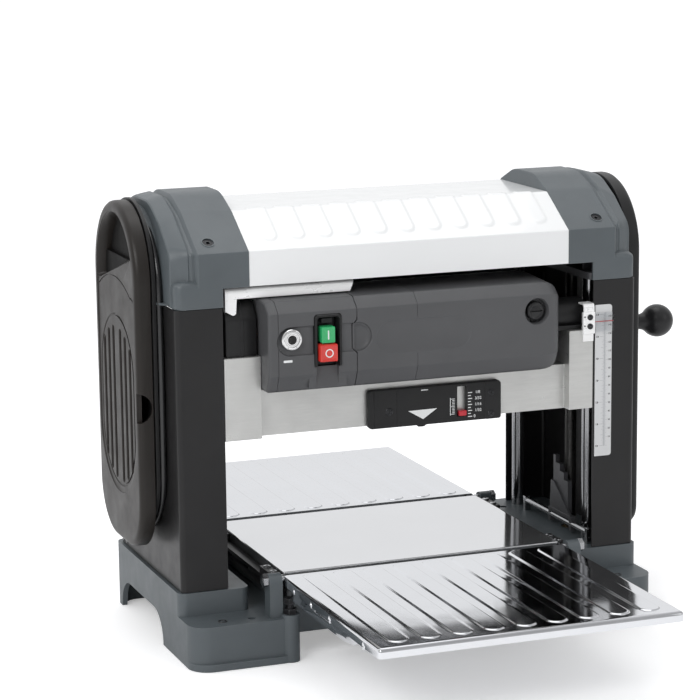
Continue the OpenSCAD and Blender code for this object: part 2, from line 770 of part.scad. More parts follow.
// compression spring as separate rings joined by a strip, one above each block
module roller_springs(at) color(steel)
  for (x = [-181, 193]) translate([x, at[0], at[1] + 14.2]) {
    for (i = [0:4])
      translate([0, 0, 1 + i*3.7])
        rotate_extrude($fn = 32) translate([2.6, 0]) circle(0.7, $fn = 16);
    translate([2.2, -0.6, 1]) cube([0.8, 1.2, 14.8]);
  }
// roller, shaft and sprocket
module roller(at) {
  color([0.15, 0.16, 0.17]) xbar(-166, 166, at, roller_r);
  color(steel) xbar(-188, 200, at, roller_shaft_r);
  color(steel) xbar(199, 208, at, 12);
}
module infeed_roller_blocks() roller_blocks(infeed);
module outfeed_roller_blocks() roller_blocks(outfeed);
module infeed_roller_springs() roller_springs(infeed);
module outfeed_roller_springs() roller_springs(outfeed);
module infeed_roller() roller(infeed);
module outfeed_roller() roller(outfeed);

// ---- cutterhead and armature ----
slot_floor = 12;  // foot of the knives and gibs, from the axis

module each_knife() {
  for (a = [0, 120, 240]) translate([0, cutter[0], cutter[1]]) rotate([a, 0, 0]) children();
}
module cutterhead_drum() color([0.6, 0.61, 0.63]) difference() {
  union() {
    xbar(-168, 168, cutter, cut_r - 2);
    xbar(-208, 200, cutter, cutter_shaft_r);
    xbar(pulley_x[0], pulley_x[1], cutter, cutter_pulley_r);
  }
  each_knife() box([-170, -3, slot_floor - 0.5], [170, 9, 26]);
}
module cutter_knives() color([0.85, 0.86, 0.88]) each_knife()
  extrude_x(-167.5, 167.5) polygon([[-2.9, slot_floor], [-0.4, slot_floor],
    [-0.4, cut_r - 1], [-2.9, sqrt(cut_r*cut_r - 8.5)]]);
module gib_bars() color(shaft_grey) each_knife() difference() {
  extrude_x(-166, 166)
    polygon([[-0.3, slot_floor], [8.8, slot_floor], [8.8, 20], [-0.3, 21.5]]);
  for (x = [-140:56:140]) translate([x, 4.4, 17]) cylinder(h = 8, r = 2.6);
}
// rotor, commutator, fan and pulley on one shaft
module motor_armature() color([0.55, 0.4, 0.25]) {
  xbar(-25, 85, motor, 25);
  xbar(-209, 168, motor, motor_shaft_r);
  xbar(pulley_x[0], pulley_x[1], motor, motor_pulley_r);
  xbar(126, 150, motor, commutator_r);
  // fan hub and blades
  xbar(-112, -104, motor, 13);
  for (a = [0:45:315])
    translate([0, motor[0], motor[1]]) rotate([a, 0, 0]) box([-111, -1, 8], [-98, 1, 30]);
}

// ---- lift drive ----
mitre_r = 13.7;
mitre_h = 5.5;
mitre_back = 14;  // from the crossing of the shafts to the back of a wheel

// 45-degree mitre wheel, back on z = 0 and narrowing upwards
module mitre() difference() {
  cylinder(h = mitre_h, r1 = mitre_r, r2 = mitre_r - mitre_h);
  for (a = [0:24:336])
    rotate([0, 0, a]) translate([mitre_r, 0, 0]) rotate([0, -45, 0])
      translate([-1.8, -0.9, -0.6]) cube([4, 1.8, 9.2]);
}
module lead_screw(s) color(dull_steel) {
  at = [s*screw.x, screw.y];
  wheel_z = crank_z - mitre_back;
  zbar(80, 385, at, screw_r);
  zbar(60, 412, at, journal_r);
  zbar(397, wheel_z, at, 9);
  translate([at.x, at.y, wheel_z]) mitre();
}
module lead_screw_left() lead_screw(-1);
module lead_screw_right() lead_screw(1);
module crank_arm() {
  wheel_x = screw.x - mitre_back;
  color(shaft_grey) xbar(-236, 307, crank, crank_shaft_r);
  color(shaft_grey) both_sides() {
    translate([wheel_x, crank[0], crank[1]]) rotate([0, 90, 0]) mitre();
    xbar(219, wheel_x, crank, 13);
  }
  // hub, arm and its rounded lower end
  color(black) {
    xbar(306, 319, crank, 11);
    box([308, 1, knob[1]], [316, 17, crank_z]);
    xbar(307.5, 316.5, [9.5, knob[1]], 9.5);
  }
  color([0.6, 0.6, 0.6]) xbar(316, 357, knob, 4);
}
module crank_knob() color([0.06, 0.06, 0.06]) difference() {
  union() {
    translate([353, knob[0], knob[1]]) sphere(knob_r, $fn = 64);
    xbar(317.5, 345, knob, 8.7);
  }
  xbar(310, 357.5, knob, 4 + run_c);
}

base_casting();
bed_casting();
bed_plate();
left_column();
right_column();
guide_posts();
top_plates();
top_frame();
top_cover();
left_end_cap();
right_end_cap();
cap_screws();
left_side_cover();
right_side_cover();
cord_wrap_plate();
power_cord();
height_scale();
lift_bearings();
bed_rails();
table_pivot_bolts();
table_level_bolts();
depth_stop_rod();
depth_stop_block();
head_casting();
motor_housing();
belt_cover();
drive_belt();
feed_chain();
motor_stator();
head_bearings();
switch_bezel();
reset_ring();
motor_brushes();
dust_hood();
gauge_plate();
scale_pointer();
lift_nuts();
post_bushes();
gear_cover();
start_button();
stop_button();
reset_button();
gauge_foot();
gauge_pointer();
infeed_roller_blocks();
infeed_roller_springs();
infeed_roller();
outfeed_roller_blocks();
outfeed_roller_springs();
outfeed_roller();
cutterhead_drum();
cutter_knives();
gib_bars();
motor_armature();
lead_screw_left();
lead_screw_right();
crank_arm();
crank_knob();
infeed_table();
outfeed_table();
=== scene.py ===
"""Benchtop thickness planer with folding tables, a motor on the head and a height crank.

The machine stands on z = 0. Its front faces -Y, its right side +X, and the tables fold out along Y.
Sizes in the mesh code are millimetres; solid() turns them into metres.
"""
import json
import random
from contextlib import contextmanager
from math import acos, asin, atan2, ceil, cos, hypot, pi, radians, sin, sqrt, tan

import bmesh
import bpy
from mathutils import Matrix, Vector


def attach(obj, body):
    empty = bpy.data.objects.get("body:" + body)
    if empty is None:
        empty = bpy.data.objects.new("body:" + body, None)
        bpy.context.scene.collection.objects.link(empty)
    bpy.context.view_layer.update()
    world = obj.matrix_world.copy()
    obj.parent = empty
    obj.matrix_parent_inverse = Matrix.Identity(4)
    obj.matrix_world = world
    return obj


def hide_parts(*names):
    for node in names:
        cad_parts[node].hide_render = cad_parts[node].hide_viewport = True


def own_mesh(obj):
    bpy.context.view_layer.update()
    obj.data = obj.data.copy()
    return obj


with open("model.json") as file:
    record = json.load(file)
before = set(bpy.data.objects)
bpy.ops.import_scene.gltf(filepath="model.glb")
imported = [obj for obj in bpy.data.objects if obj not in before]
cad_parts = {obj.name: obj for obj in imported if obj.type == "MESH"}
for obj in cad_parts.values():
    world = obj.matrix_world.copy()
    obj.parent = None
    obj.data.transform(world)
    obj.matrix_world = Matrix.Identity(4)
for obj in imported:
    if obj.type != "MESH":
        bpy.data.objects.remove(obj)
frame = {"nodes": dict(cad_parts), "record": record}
NODES = frame["nodes"]
SLOTS = {part["node"]: part.get("material_slot") for part in frame["record"].get("subparts", [])}
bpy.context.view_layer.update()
random.seed(7)
MM = 0.001
scene = bpy.context.scene

# ------------------------------------------------------------------ places shared by several pieces
MIDDLE_Y = 32.8                       # middle of the upper housing, front to rear
CRANK_AXIS = (8, 423)                 # (Y, Z)
KNOB_AXIS = (10, 315)                 # (Y, Z)
MOTOR_AXIS = (-62, 350)               # (Y, Z)
COVER_Y, COVER_Z, COVER_R = 39.4, 408.3, 83.7    # round top of the side covers
FACE_X = 303.5                        # outer face of the side covers
COVER_MOUNTS = ((40, 190), (40, 320))  # (Y, Z)
RESET = (-152, 352)                   # (X, Z)
DIMPLE = (-74.5, 348.6)               # (X, Z)
FRONT_BRUSH, REAR_BRUSH = (138, 361.5), (138, 341)  # (X, Z)
TABLE_TOP = 95.0
GAUGE_Y = -85.0                       # front face of the gauge plate
SCALE_Y = -91.76                      # printed marks of the height scale

# ------------------------------------------------------------------ shader node helpers
MATERIALS = {}


def node(tree, kind, **settings):
    made = tree.nodes.new(kind)
    for key, value in settings.items():
        setattr(made, key, value)
    return made


def feed(tree, socket, value):
    """Links a socket to another socket, or sets its value."""
    if isinstance(value, bpy.types.NodeSocket):
        tree.links.new(value, socket)
    else:
        socket.default_value = value


def object_coords(tree, stretch=(1, 1, 1)):
    coords = node(tree, "ShaderNodeTexCoord")
    mapping = node(tree, "ShaderNodeMapping")
    mapping.inputs["Scale"].default_value = stretch
    tree.links.new(coords.outputs["Object"], mapping.inputs["Vector"])
    return mapping.outputs["Vector"]


def noise(tree, vector, scale, detail=3.0, rough=0.55):
    made = node(tree, "ShaderNodeTexNoise")
    made.inputs["Scale"].default_value = scale
    made.inputs["Detail"].default_value = detail
    made.inputs["Roughness"].default_value = rough
    tree.links.new(vector, made.inputs["Vector"])
    return made.outputs["Fac"]


def remap(tree, value, low, high, start=0.3, end=0.7, interpolation="LINEAR"):
    """Maps start..end to low..high."""
    made = node(tree, "ShaderNodeMapRange", interpolation_type=interpolation)
    made.inputs["From Min"].default_value = start
    made.inputs["From Max"].default_value = end
    made.inputs["To Min"].default_value = low
    made.inputs["To Max"].default_value = high
    tree.links.new(value, made.inputs["Value"])
    return made.outputs["Result"]


def mix_color(tree, factor, first, second):
    made = node(tree, "ShaderNodeMix", data_type="RGBA")
    tree.links.new(factor, made.inputs["Factor"])
    for socket, value in ((made.inputs[6], first), (made.inputs[7], second)):
        feed(tree, socket, (*value, 1) if isinstance(value, tuple) else value)
    return made.outputs[2]


def calc(tree, operation, first, second):
    made = node(tree, "ShaderNodeMath", operation=operation)
    feed(tree, made.inputs[0], first)
    feed(tree, made.inputs[1], second)
    return made.outputs[0]


def tint(color, factor, lift=0.0):
    return tuple(min(1.0, channel * factor + lift) for channel in color)


def new_material(name):
    material = bpy.data.materials.new(name)
    material.use_nodes = True
    MATERIALS[name] = material
    tree = material.node_tree
    return material, tree, tree.nodes["Principled BSDF"]


def surface(name, color, rough, metal=0.0, mottle=0.06, mottle_scale=14, rough_spread=0.06,
            rough_scale=40, grain=0.0, grain_scale=1400, relief=0.00012, coat=0.0,
            coat_rough=0.08, brush=None, brush_rough=0.0, brush_relief=0.0, edge=0.0,
            edge_wear_and_highlight_color=None, specular=0.5, wave=0.0, wave_scale=3.0):
    """Mottled colour, uneven roughness, grain, wave or brushing bump, and lighter edges that are
    partly worn paint and partly a painted highlight.

    relief is the bump distance in metres; brush is the stretch of the brushing noise.
    """
    material, tree, shader = new_material(name)
    vector = object_coords(tree)
    patches = noise(tree, vector, mottle_scale, detail=4.0)
    base = mix_color(tree, remap(tree, patches, 0, 1), tint(color, 1 - mottle),
                     tint(color, 1 + mottle))
    roughness = remap(tree, noise(tree, vector, rough_scale, detail=5.0),
                      max(0.02, rough - rough_spread), min(1, rough + rough_spread))
    layers = []
    if brush:
        strokes = noise(tree, object_coords(tree, brush), 1.0, detail=6.0, rough=0.7)
        roughness = calc(tree, "ADD", roughness, remap(tree, strokes, -brush_rough, brush_rough))
        base = mix_color(tree, remap(tree, strokes, 0, 1), base, tint(color, 1.12))
        layers.append(calc(tree, "MULTIPLY", strokes, brush_relief))
    if grain:
        grains = noise(tree, vector, grain_scale, detail=2.0, rough=0.6)
        layers.append(calc(tree, "MULTIPLY", grains, grain))
    if wave:
        layers.append(calc(tree, "MULTIPLY", noise(tree, vector, wave_scale, detail=1.5), wave))
    height = layers[0]
    for layer in layers[1:]:
        height = calc(tree, "ADD", height, layer)
    if edge:
        # the bevel normal leaves the true normal only near an edge
        rounded_normal = node(tree, "ShaderNodeBevel", samples=3)
        rounded_normal.inputs["Radius"].default_value = 0.0014
        geometry = node(tree, "ShaderNodeNewGeometry")
        dot = node(tree, "ShaderNodeVectorMath", operation="DOT_PRODUCT")
        tree.links.new(rounded_normal.outputs["Normal"], dot.inputs[0])
        tree.links.new(geometry.outputs["Normal"], dot.inputs[1])
        # lightens the colour along edges: partly worn paint, partly a painted highlight on the
        # rounded edges
        mask = remap(tree, dot.outputs["Value"], edge, 0.0, start=0.80, end=0.995)
        wear = remap(tree, noise(tree, vector, 90, detail=4.0), 0.25, 1.0)
        mask = calc(tree, "MULTIPLY", mask, wear)
        base = mix_color(tree, mask, base, edge_wear_and_highlight_color or tint(color, 1.9, lift=0.05))
    tree.links.new(base, shader.inputs["Base Color"])
    tree.links.new(roughness, shader.inputs["Roughness"])
    for key, value in (("Metallic", metal), ("IOR", 1.5), ("Specular IOR Level", specular),
                       ("Coat Weight", coat), ("Coat Roughness", coat_rough)):
        shader.inputs[key].default_value = value
    bump = node(tree, "ShaderNodeBump")
    bump.inputs["Strength"].default_value = 1.0
    bump.inputs["Distance"].default_value = relief
    tree.links.new(height, bump.inputs["Height"])
    tree.links.new(bump.outputs["Normal"], shader.inputs["Normal"])
    return material


def pressed_lines(material):
    """Paints shade: darkens the sloping flanks of pressed ribs that turn towards the front or +X
    +Y.
    """
    tree = material.node_tree
    shader = tree.nodes["Principled BSDF"]
    source = shader.inputs["Base Color"].links[0].from_socket
    geometry = node(tree, "ShaderNodeNewGeometry")
    local = node(tree, "ShaderNodeVectorTransform", vector_type="NORMAL",
                 convert_from="WORLD", convert_to="OBJECT")
    tree.links.new(geometry.outputs["Normal"], local.inputs[0])
    dot = node(tree, "ShaderNodeVectorMath", operation="DOT_PRODUCT")
    dot.inputs[1].default_value = (0.78, 0.63, 0.0)
    tree.links.new(local.outputs[0], dot.inputs[0])
    axes = node(tree, "ShaderNodeSeparateXYZ")
    tree.links.new(local.outputs[0], axes.inputs[0])
    upward = remap(tree, axes.outputs["Z"], 0, 1, start=0.3, end=0.5)
    far = remap(tree, dot.outputs["Value"], 0, 0.9, start=0.10, end=0.42)
    far = calc(tree, "MULTIPLY", far, upward)
    near = calc(tree, "MULTIPLY", axes.outputs["Y"], -1.0)
    near = calc(tree, "MULTIPLY", remap(tree, near, 0, 0.45, start=0.08, end=0.4), upward)
    # painted shade: flanks turned away and flanks facing the front are mixed towards near black
    dark = calc(tree, "ADD", far, near)
    tree.links.new(mix_color(tree, dark, source, (0.03, 0.03, 0.035)),
                   shader.inputs["Base Color"])


def clear_window():
    _, tree, shader = new_material("window_clear")
    vector = object_coords(tree)
    shader.inputs["Base Color"].default_value = (0.95, 0.96, 0.97, 1)
    shader.inputs["Transmission Weight"].default_value = 1.0
    shader.inputs["IOR"].default_value = 1.2
    roughness = remap(tree, noise(tree, vector, 60, detail=4.0), 0.02, 0.12)
    tree.links.new(roughness, shader.inputs["Roughness"])


# ------------------------------------------------------------------ materials
def painted_materials():
    # the slate casting's light edge colour is partly a painted highlight along its rounded edges
    surface("slate_casting", color=(0.088, 0.103, 0.112), rough=0.42, mottle=0.07, grain=1.0,
            grain_scale=1100, relief=0.00010, edge=0.35, edge_wear_and_highlight_color=(0.24, 0.27, 0.28),
            rough_spread=0.05, specular=0.55)
    surface("black_sheet", color=(0.0155, 0.0150, 0.0155), rough=0.36, mottle=0.10, grain=1.0,
            grain_scale=900, relief=0.00006, edge=0.25, edge_wear_and_highlight_color=(0.09, 0.09, 0.095),
            rough_spread=0.05, specular=0.33)
    surface("dark_frame", color=(0.055, 0.056, 0.06), rough=0.45, metal=0.2, mottle=0.12,
            grain=1.0, edge=0.3)
    surface("white_paint", color=(0.86, 0.868, 0.872), rough=0.22, mottle=0.012, mottle_scale=6,
            coat=0.5, coat_rough=0.05, grain=0.6, grain_scale=420, relief=0.00005,
            rough_spread=0.03)
    surface("scale_white", color=(0.66, 0.665, 0.67), rough=0.35, mottle=0.02, grain=0.3,
            coat=0.3)
    surface("motor_grey", color=(0.079, 0.080, 0.084), rough=0.43, mottle=0.06, grain=1.0,
            grain_scale=1300, relief=0.00012, edge=0.3, edge_wear_and_highlight_color=(0.17, 0.17, 0.175))
    surface("mark_white", color=(0.82, 0.83, 0.83), rough=0.4, mottle=0.03, grain=0.2)
    surface("mark_black", color=(0.03, 0.03, 0.035), rough=0.5, mottle=0.1, grain=0.2)
    surface("mark_grey", color=(0.33, 0.34, 0.36), rough=0.45, mottle=0.05, grain=0.2)
    surface("mark_red", color=(0.62, 0.05, 0.06), rough=0.4, mottle=0.05, grain=0.2)


def metal_materials():
    surface("cast_bed", color=(0.12, 0.125, 0.13), rough=0.6, metal=0.5, mottle=0.18, grain=1.2,
            grain_scale=500, relief=0.0003, edge=0.2)
    surface("polished_steel", color=(0.84, 0.845, 0.86), rough=0.07, metal=0.92, mottle=0.01,
            rough_spread=0.02, rough_scale=12, wave=1.0, wave_scale=5.0, relief=0.00003)
    # the table steel gets painted shade on its rib flanks
    pressed_lines(surface("mirror_steel", color=(0.83, 0.84, 0.865), rough=0.09, metal=1.0,
                          mottle=0.015, rough_spread=0.03, rough_scale=26, wave=1.0,
                          wave_scale=7.0, relief=0.00006))
    surface("ground_steel", color=(0.40, 0.405, 0.415), rough=0.24, metal=1.0, mottle=0.05,
            rough_spread=0.05, grain=0.15, grain_scale=500, relief=0.00004, edge=0.2)
    surface("black_screw", color=(0.018, 0.018, 0.02), rough=0.3, metal=0.6, mottle=0.1,
            grain=0.4, edge=0.5, edge_wear_and_highlight_color=(0.3, 0.31, 0.32))
    surface("bearing_bronze", color=(0.50, 0.36, 0.17), rough=0.34, metal=1.0, mottle=0.12,
            grain=0.6, edge=0.3)
    surface("head_silver", color=(0.56, 0.56, 0.545), rough=0.36, metal=0.75, mottle=0.05,
            mottle_scale=9, brush=(30, 30, 260), brush_rough=0.06, brush_relief=0.3, grain=0.5,
            grain_scale=700, relief=0.00008, edge=0.15, edge_wear_and_highlight_color=(0.85, 0.85, 0.84),
            rough_spread=0.07)
    surface("copper_winding", color=(0.46, 0.20, 0.09), rough=0.36, metal=0.8, mottle=0.2,
            brush=(1500, 60, 60), brush_rough=0.1, brush_relief=1.0, relief=0.0002)
    surface("bright_ring", color=(0.80, 0.80, 0.80), rough=0.16, metal=1.0, mottle=0.04,
            rough_spread=0.06, grain=0.3, edge=0.1)
    surface("spring_steel", color=(0.48, 0.48, 0.5), rough=0.25, metal=1.0, mottle=0.08,
            grain=0.3)
    surface("bridge_silver", color=(0.94, 0.94, 0.935), rough=0.28, metal=0.25, mottle=0.01,
            rough_spread=0.02, brush=(8, 200, 200), brush_rough=0.01, brush_relief=0.01,
            relief=0.00003)
    surface("oiled_steel", color=(0.085, 0.083, 0.08), rough=0.34, metal=0.85, mottle=0.15,
            rough_spread=0.08, grain=0.4, grain_scale=700, relief=0.00006, edge=0.15)
    surface("guide_steel", color=(0.36, 0.362, 0.372), rough=0.16, metal=1.0, mottle=0.03,
            rough_spread=0.03, rough_scale=8, grain=0.1, grain_scale=300, relief=0.00002)


def plastic_materials():
    surface("brown_black_plastic", color=(0.0178, 0.0148, 0.0128), rough=0.36, mottle=0.08,
            grain=1.0, grain_scale=1700, relief=0.00008, edge=0.3,
            edge_wear_and_highlight_color=(0.12, 0.11, 0.105), specular=0.31)
    surface("black_plastic", color=(0.0125, 0.0125, 0.013), rough=0.4, mottle=0.1, grain=1.0,
            grain_scale=1500, relief=0.00008, edge=0.3, edge_wear_and_highlight_color=(0.09, 0.09, 0.095),
            specular=0.33)
    surface("cord_rubber", color=(0.016, 0.016, 0.017), rough=0.5, mottle=0.15, grain=0.8,
            grain_scale=1200)
    surface("belt_rubber", color=(0.02, 0.02, 0.02), rough=0.65, mottle=0.2, grain=1.0,
            grain_scale=900)
    surface("button_green", color=(0.03, 0.42, 0.14), rough=0.26, mottle=0.04, grain=0.3,
            coat=0.4)
    surface("button_red", color=(0.66, 0.035, 0.025), rough=0.26, mottle=0.04, grain=0.3,
            coat=0.4)
    surface("pointer_red", color=(0.55, 0.03, 0.045), rough=0.3, mottle=0.04, grain=0.3)
    surface("roller_rubber", color=(0.024, 0.025, 0.027), rough=0.6, mottle=0.15, grain=1.2,
            grain_scale=700)
    surface("knob_black", color=(0.019, 0.019, 0.020), rough=0.3, mottle=0.06, grain=0.5,
            grain_scale=900, specular=0.34)
    surface("gloss_black", color=(0.0075, 0.0075, 0.008), rough=0.2, mottle=0.08, grain=0.4,
            grain_scale=800, edge=0.3, edge_wear_and_highlight_color=(0.07, 0.07, 0.075), specular=0.3)
    # darker and duller than the cover plastic: painted shade for the floor of the carrying recess
    surface("recess_painted_shade", color=(0.006, 0.0056, 0.0054), rough=0.62, mottle=0.1, grain=1.0,
            grain_scale=1300, relief=0.00008, specular=0.15)
    surface("cord_gloss", color=(0.014, 0.014, 0.015), rough=0.22, mottle=0.12, grain=0.5,
            grain_scale=900, specular=0.6)
    clear_window()


# ------------------------------------------------------------------ object and mesh helpers
@contextmanager
def edit(mesh):
    """Opens a mesh for bmesh work and writes it back."""
    bm = bmesh.new()
    bm.from_mesh(mesh)
    yield bm
    bm.to_mesh(mesh)
    bm.free()


def link(thing):
    scene.collection.objects.link(thing)
    return thing


def dress(piece, name, body, slot, smooth=30, replaces=None, mat=None):
    """Names a finished piece, gives it material and shading, and attaches it to its body."""
    piece.name = piece.data.name = name
    mesh = piece.data
    mesh.materials.clear()
    mesh.materials.append(MATERIALS[mat or slot])
    mesh.polygons.foreach_set("use_smooth", [True] * len(mesh.polygons))
    mesh.set_sharp_from_angle(angle=radians(smooth))
    mesh.update()
    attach(piece, body)
    if replaces:
        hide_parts(replaces)


def apply_mods(piece):
    bpy.context.view_layer.update()
    graph = bpy.context.evaluated_depsgraph_get()
    mesh = bpy.data.meshes.new_from_object(piece.evaluated_get(graph))
    old = piece.data
    piece.modifiers.clear()
    piece.data = mesh
    bpy.data.meshes.remove(old)
    return piece


def bevel(piece, width, angle=32):
    """Adds a live bevel; the width is in mm."""
    mod = piece.modifiers.new("bevel", "BEVEL")
    mod.width = width * MM
    mod.segments = 2
    mod.limit_method = "ANGLE"
    mod.angle_limit = radians(angle)
    mod.use_clamp_overlap = True
    mod.miter_outer = "MITER_ARC"


def bevelled(piece, width, angle=32):
    """The piece with its bevel applied."""
    bevel(piece, width, angle)
    return apply_mods(piece)


def thicken(piece, thickness):
    """Turns a sheet into a wall that grows against its normals."""
    mod = piece.modifiers.new("thickness", "SOLIDIFY")
    mod.thickness = thickness * MM
    mod.offset = -1
    return apply_mods(piece)


def boolean(piece, tool, operation):
    mod = piece.modifiers.new("boolean", "BOOLEAN")
    mod.operation = operation
    mod.object = tool
    mod.solver = "EXACT"
    apply_mods(piece)
    bpy.data.objects.remove(tool)


def cut(piece, *tools):
    for tool in tools:
        boolean(piece, tool, "DIFFERENCE")
    return piece


def add(piece, *tools):
    for tool in tools:
        boolean(piece, tool, "UNION")
    return piece


def clean(piece, angle=0.3):
    """Welds close points and dissolves nearly flat edges."""
    with edit(piece.data) as bm:
        bmesh.ops.remove_doubles(bm, verts=bm.verts, dist=2e-6)
        bmesh.ops.dissolve_limit(bm, angle_limit=radians(angle), verts=bm.verts,
                                 edges=bm.edges, delimit={"NORMAL"})
        bmesh.ops.recalc_face_normals(bm, faces=bm.faces)


def mirror(piece, axis):
    """Mirrors in place across the origin; axis is 0 for X, 1 for Y."""
    with edit(piece.data) as bm:
        for vert in bm.verts:
            vert.co[axis] = -vert.co[axis]
        bmesh.ops.reverse_faces(bm, faces=bm.faces)


def join(pieces):
    """Joins meshes into one new object without a boolean."""
    bm = bmesh.new()
    for piece in pieces:
        bm.from_mesh(piece.data)
    mesh = bpy.data.meshes.new("part")
    bm.to_mesh(mesh)
    bm.free()
    for piece in pieces:
        bpy.data.objects.remove(piece)
    return link(bpy.data.objects.new("part", mesh))


def cad_copy(name):
    """A free copy of a CAD node's mesh, cleaned for mesh work."""
    mesh = NODES[name].data.copy()
    piece = link(bpy.data.objects.new("part", mesh))
    if mesh.has_custom_normals:
        normals = mesh.attributes.get("custom_normal")
        if normals:
            mesh.attributes.remove(normals)
    clean(piece, 0.6)
    return piece


# ------------------------------------------------------------------ solids
# An outline across an axis holds (Y, Z) points for x, (X, Z) for y and (X, Y) for z.
BOX_FACES = ((0, 1, 3, 2), (4, 5, 7, 6), (0, 1, 5, 4), (2, 3, 7, 6), (0, 2, 6, 4), (1, 3, 7, 5))


def solid(verts, faces):
    """Mesh object from millimetre points."""
    mesh = bpy.data.meshes.new("part")
    mesh.from_pydata([(x * MM, y * MM, z * MM) for x, y, z in verts], [], faces)
    piece = link(bpy.data.objects.new("part", mesh))
    with edit(mesh) as bm:
        bmesh.ops.remove_doubles(bm, verts=bm.verts, dist=1e-7)
        bmesh.ops.recalc_face_normals(bm, faces=bm.faces)
    return piece


def ring(axis, points, place):
    """An outline set across an axis at a place along it."""
    if axis == "x":
        return [(place, y, z) for y, z in points]
    if axis == "y":
        return [(x, place, z) for x, z in points]
    return [(x, y, place) for x, y in points]


def span(axis, first, second, start, end):
    """Solid between two outlines of equal count."""
    count = len(first)
    faces = [tuple(range(count))[::-1], tuple(range(count, 2 * count))]
    faces += [(i, (i + 1) % count, count + (i + 1) % count, count + i) for i in range(count)]
    return solid(ring(axis, first, start) + ring(axis, second, end), faces)


def prism(axis, points, start, end):
    return span(axis, points, points, start, end)


def circle(center, radius, steps):
    return [(center[0] + radius * cos(2 * pi * i / steps),
             center[1] + radius * sin(2 * pi * i / steps)) for i in range(steps)]


def cyl(axis, start, end, center, radius, steps=48, end_radius=None):
    end_radius = radius if end_radius is None else end_radius
    return span(axis, circle(center, radius, steps), circle(center, end_radius, steps),
                start, end)


def box_corners(low, high):
    return [(x, y, z) for z in (low[2], high[2]) for y in (low[1], high[1])
            for x in (low[0], high[0])]


def block(low, high):
    return solid(box_corners(low, high), BOX_FACES)


def loft(rings):
    """Capped solid through rings of 3D points."""
    count = len(rings[0])
    verts = [point for points in rings for point in points]
    faces = []
    for k in range(len(rings) - 1):
        for i in range(count):
            j = (i + 1) % count
            faces.append((k * count + i, k * count + j, (k + 1) * count + j,
                          (k + 1) * count + i))
    faces.append(tuple(range(count))[::-1])
    faces.append(tuple(range((len(rings) - 1) * count, len(rings) * count)))
    return solid(verts, faces)


def stack(axis, stations):
    """Loft of (place, outline) stations."""
    return loft([ring(axis, points, place) for place, points in stations])


def lathe(axis, center, profile, steps=64, start=0.0):
    """Turned form. The profile holds (distance from start, radius); radius 0 closes an end."""
    verts, faces, rings = [], [], []
    for distance, radius in profile:
        points = [center] if radius < 1e-6 else circle(center, radius, steps)
        rings.append(list(range(len(verts), len(verts) + len(points))))
        verts += ring(axis, points, start + distance)
    for low, high in zip(rings, rings[1:]):
        for i in range(steps):
            j = (i + 1) % steps
            if len(low) == 1 and len(high) == 1:
                continue
            if len(low) == 1:
                faces.append((low[0], high[j], high[i]))
            elif len(high) == 1:
                faces.append((low[i], low[j], high[0]))
            else:
                faces.append((low[i], low[j], high[j], high[i]))
    if len(rings[0]) > 1:
        faces.append(tuple(rings[0])[::-1])
    if len(rings[-1]) > 1:
        faces.append(tuple(rings[-1]))
    return solid(verts, faces)


def lathe_tube(axis, center, profile, steps):
    """Turned form whose first and last rings are joined to a closed section."""
    piece = lathe(axis, center, profile, steps)
    with edit(piece.data) as bm:
        caps = [face for face in bm.faces if len(face.verts) == steps]
        bmesh.ops.delete(bm, geom=caps, context="FACES_ONLY")
        bmesh.ops.bridge_loops(bm, edges=[edge for edge in bm.edges if edge.is_boundary])
        bmesh.ops.recalc_face_normals(bm, faces=bm.faces)
    return piece


# ------------------------------------------------------------------ outlines
def arc(x, y, radius, start, sweep, steps):
    """Points on an arc; angles in degrees."""
    angles = [radians(start + sweep * i / steps) for i in range(steps + 1)]
    return [(x + radius * cos(angle), y + radius * sin(angle)) for angle in angles]


def round_rect(x0, y0, x1, y1, radius, steps=8):
    points = []
    for x, y, start in ((x1 - radius, y1 - radius, 0), (x0 + radius, y1 - radius, 90),
                        (x0 + radius, y0 + radius, 180), (x1 - radius, y0 + radius, 270)):
        points += arc(x, y, radius, start, 90, steps)
    return points


def obround(x, y, width, height, steps):
    """Upright or lying stadium outline."""
    radius = min(width, height) / 2
    return round_rect(x - width / 2, y - height / 2, x + width / 2, y + height / 2,
                      radius * 0.999, steps)


def obround_stack(axis, center, size, steps, stations):
    """Loft of obrounds; stations are (place, outward offset)."""
    return stack(axis, [(place, obround(*center, size[0] + 2 * grow, size[1] + 2 * grow, steps))
                        for place, grow in stations])


def fillet(corners, steps):
    """Closed outline from (u, v, radius) corners; every corner gives steps + 1 points."""
    count = len(corners)
    points = []
    for i in range(count):
        corner = Vector(corners[i][:2])
        back = Vector(corners[i - 1][:2]) - corner
        ahead = Vector(corners[(i + 1) % count][:2]) - corner
        radius = corners[i][2]
        room = (back.length, ahead.length)
        back.normalize()
        ahead.normalize()
        angle = acos(max(-1, min(1, back.dot(ahead))))
        run = radius / tan(angle / 2) if radius > 0 else 0
        run = min(run, room[0] * 0.49, room[1] * 0.49)
        radius = run * tan(angle / 2)
        if run < 1e-6:
            points += [tuple(corner)] * (steps + 1)
            continue
        center = corner + (back + ahead).normalized() * (radius / sin(angle / 2))
        first, last = corner + back * run, corner + ahead * run
        start = atan2(first.y - center.y, first.x - center.x)
        end = atan2(last.y - center.y, last.x - center.x)
        sweep = (end - start + pi) % (2 * pi) - pi
        for j in range(steps + 1):
            turn = start + sweep * j / steps
            points.append((center.x + radius * cos(turn), center.y + radius * sin(turn)))
    return points


def winding(points):
    """1 for an anticlockwise outline, otherwise -1."""
    count = len(points)
    area = sum(points[i][0] * points[(i + 1) % count][1]
               - points[(i + 1) % count][0] * points[i][1] for i in range(count))
    return 1 if area > 0 else -1


def miter(before, after, sign, least):
    """Inward step that moves both edges of a corner by one; least limits sharp corners."""
    normal = Vector((-before.y, before.x)) * sign
    both = normal + Vector((-after.y, after.x)) * sign
    return both / max(least, both.length_squared / 2) if both.length > 1e-6 else normal


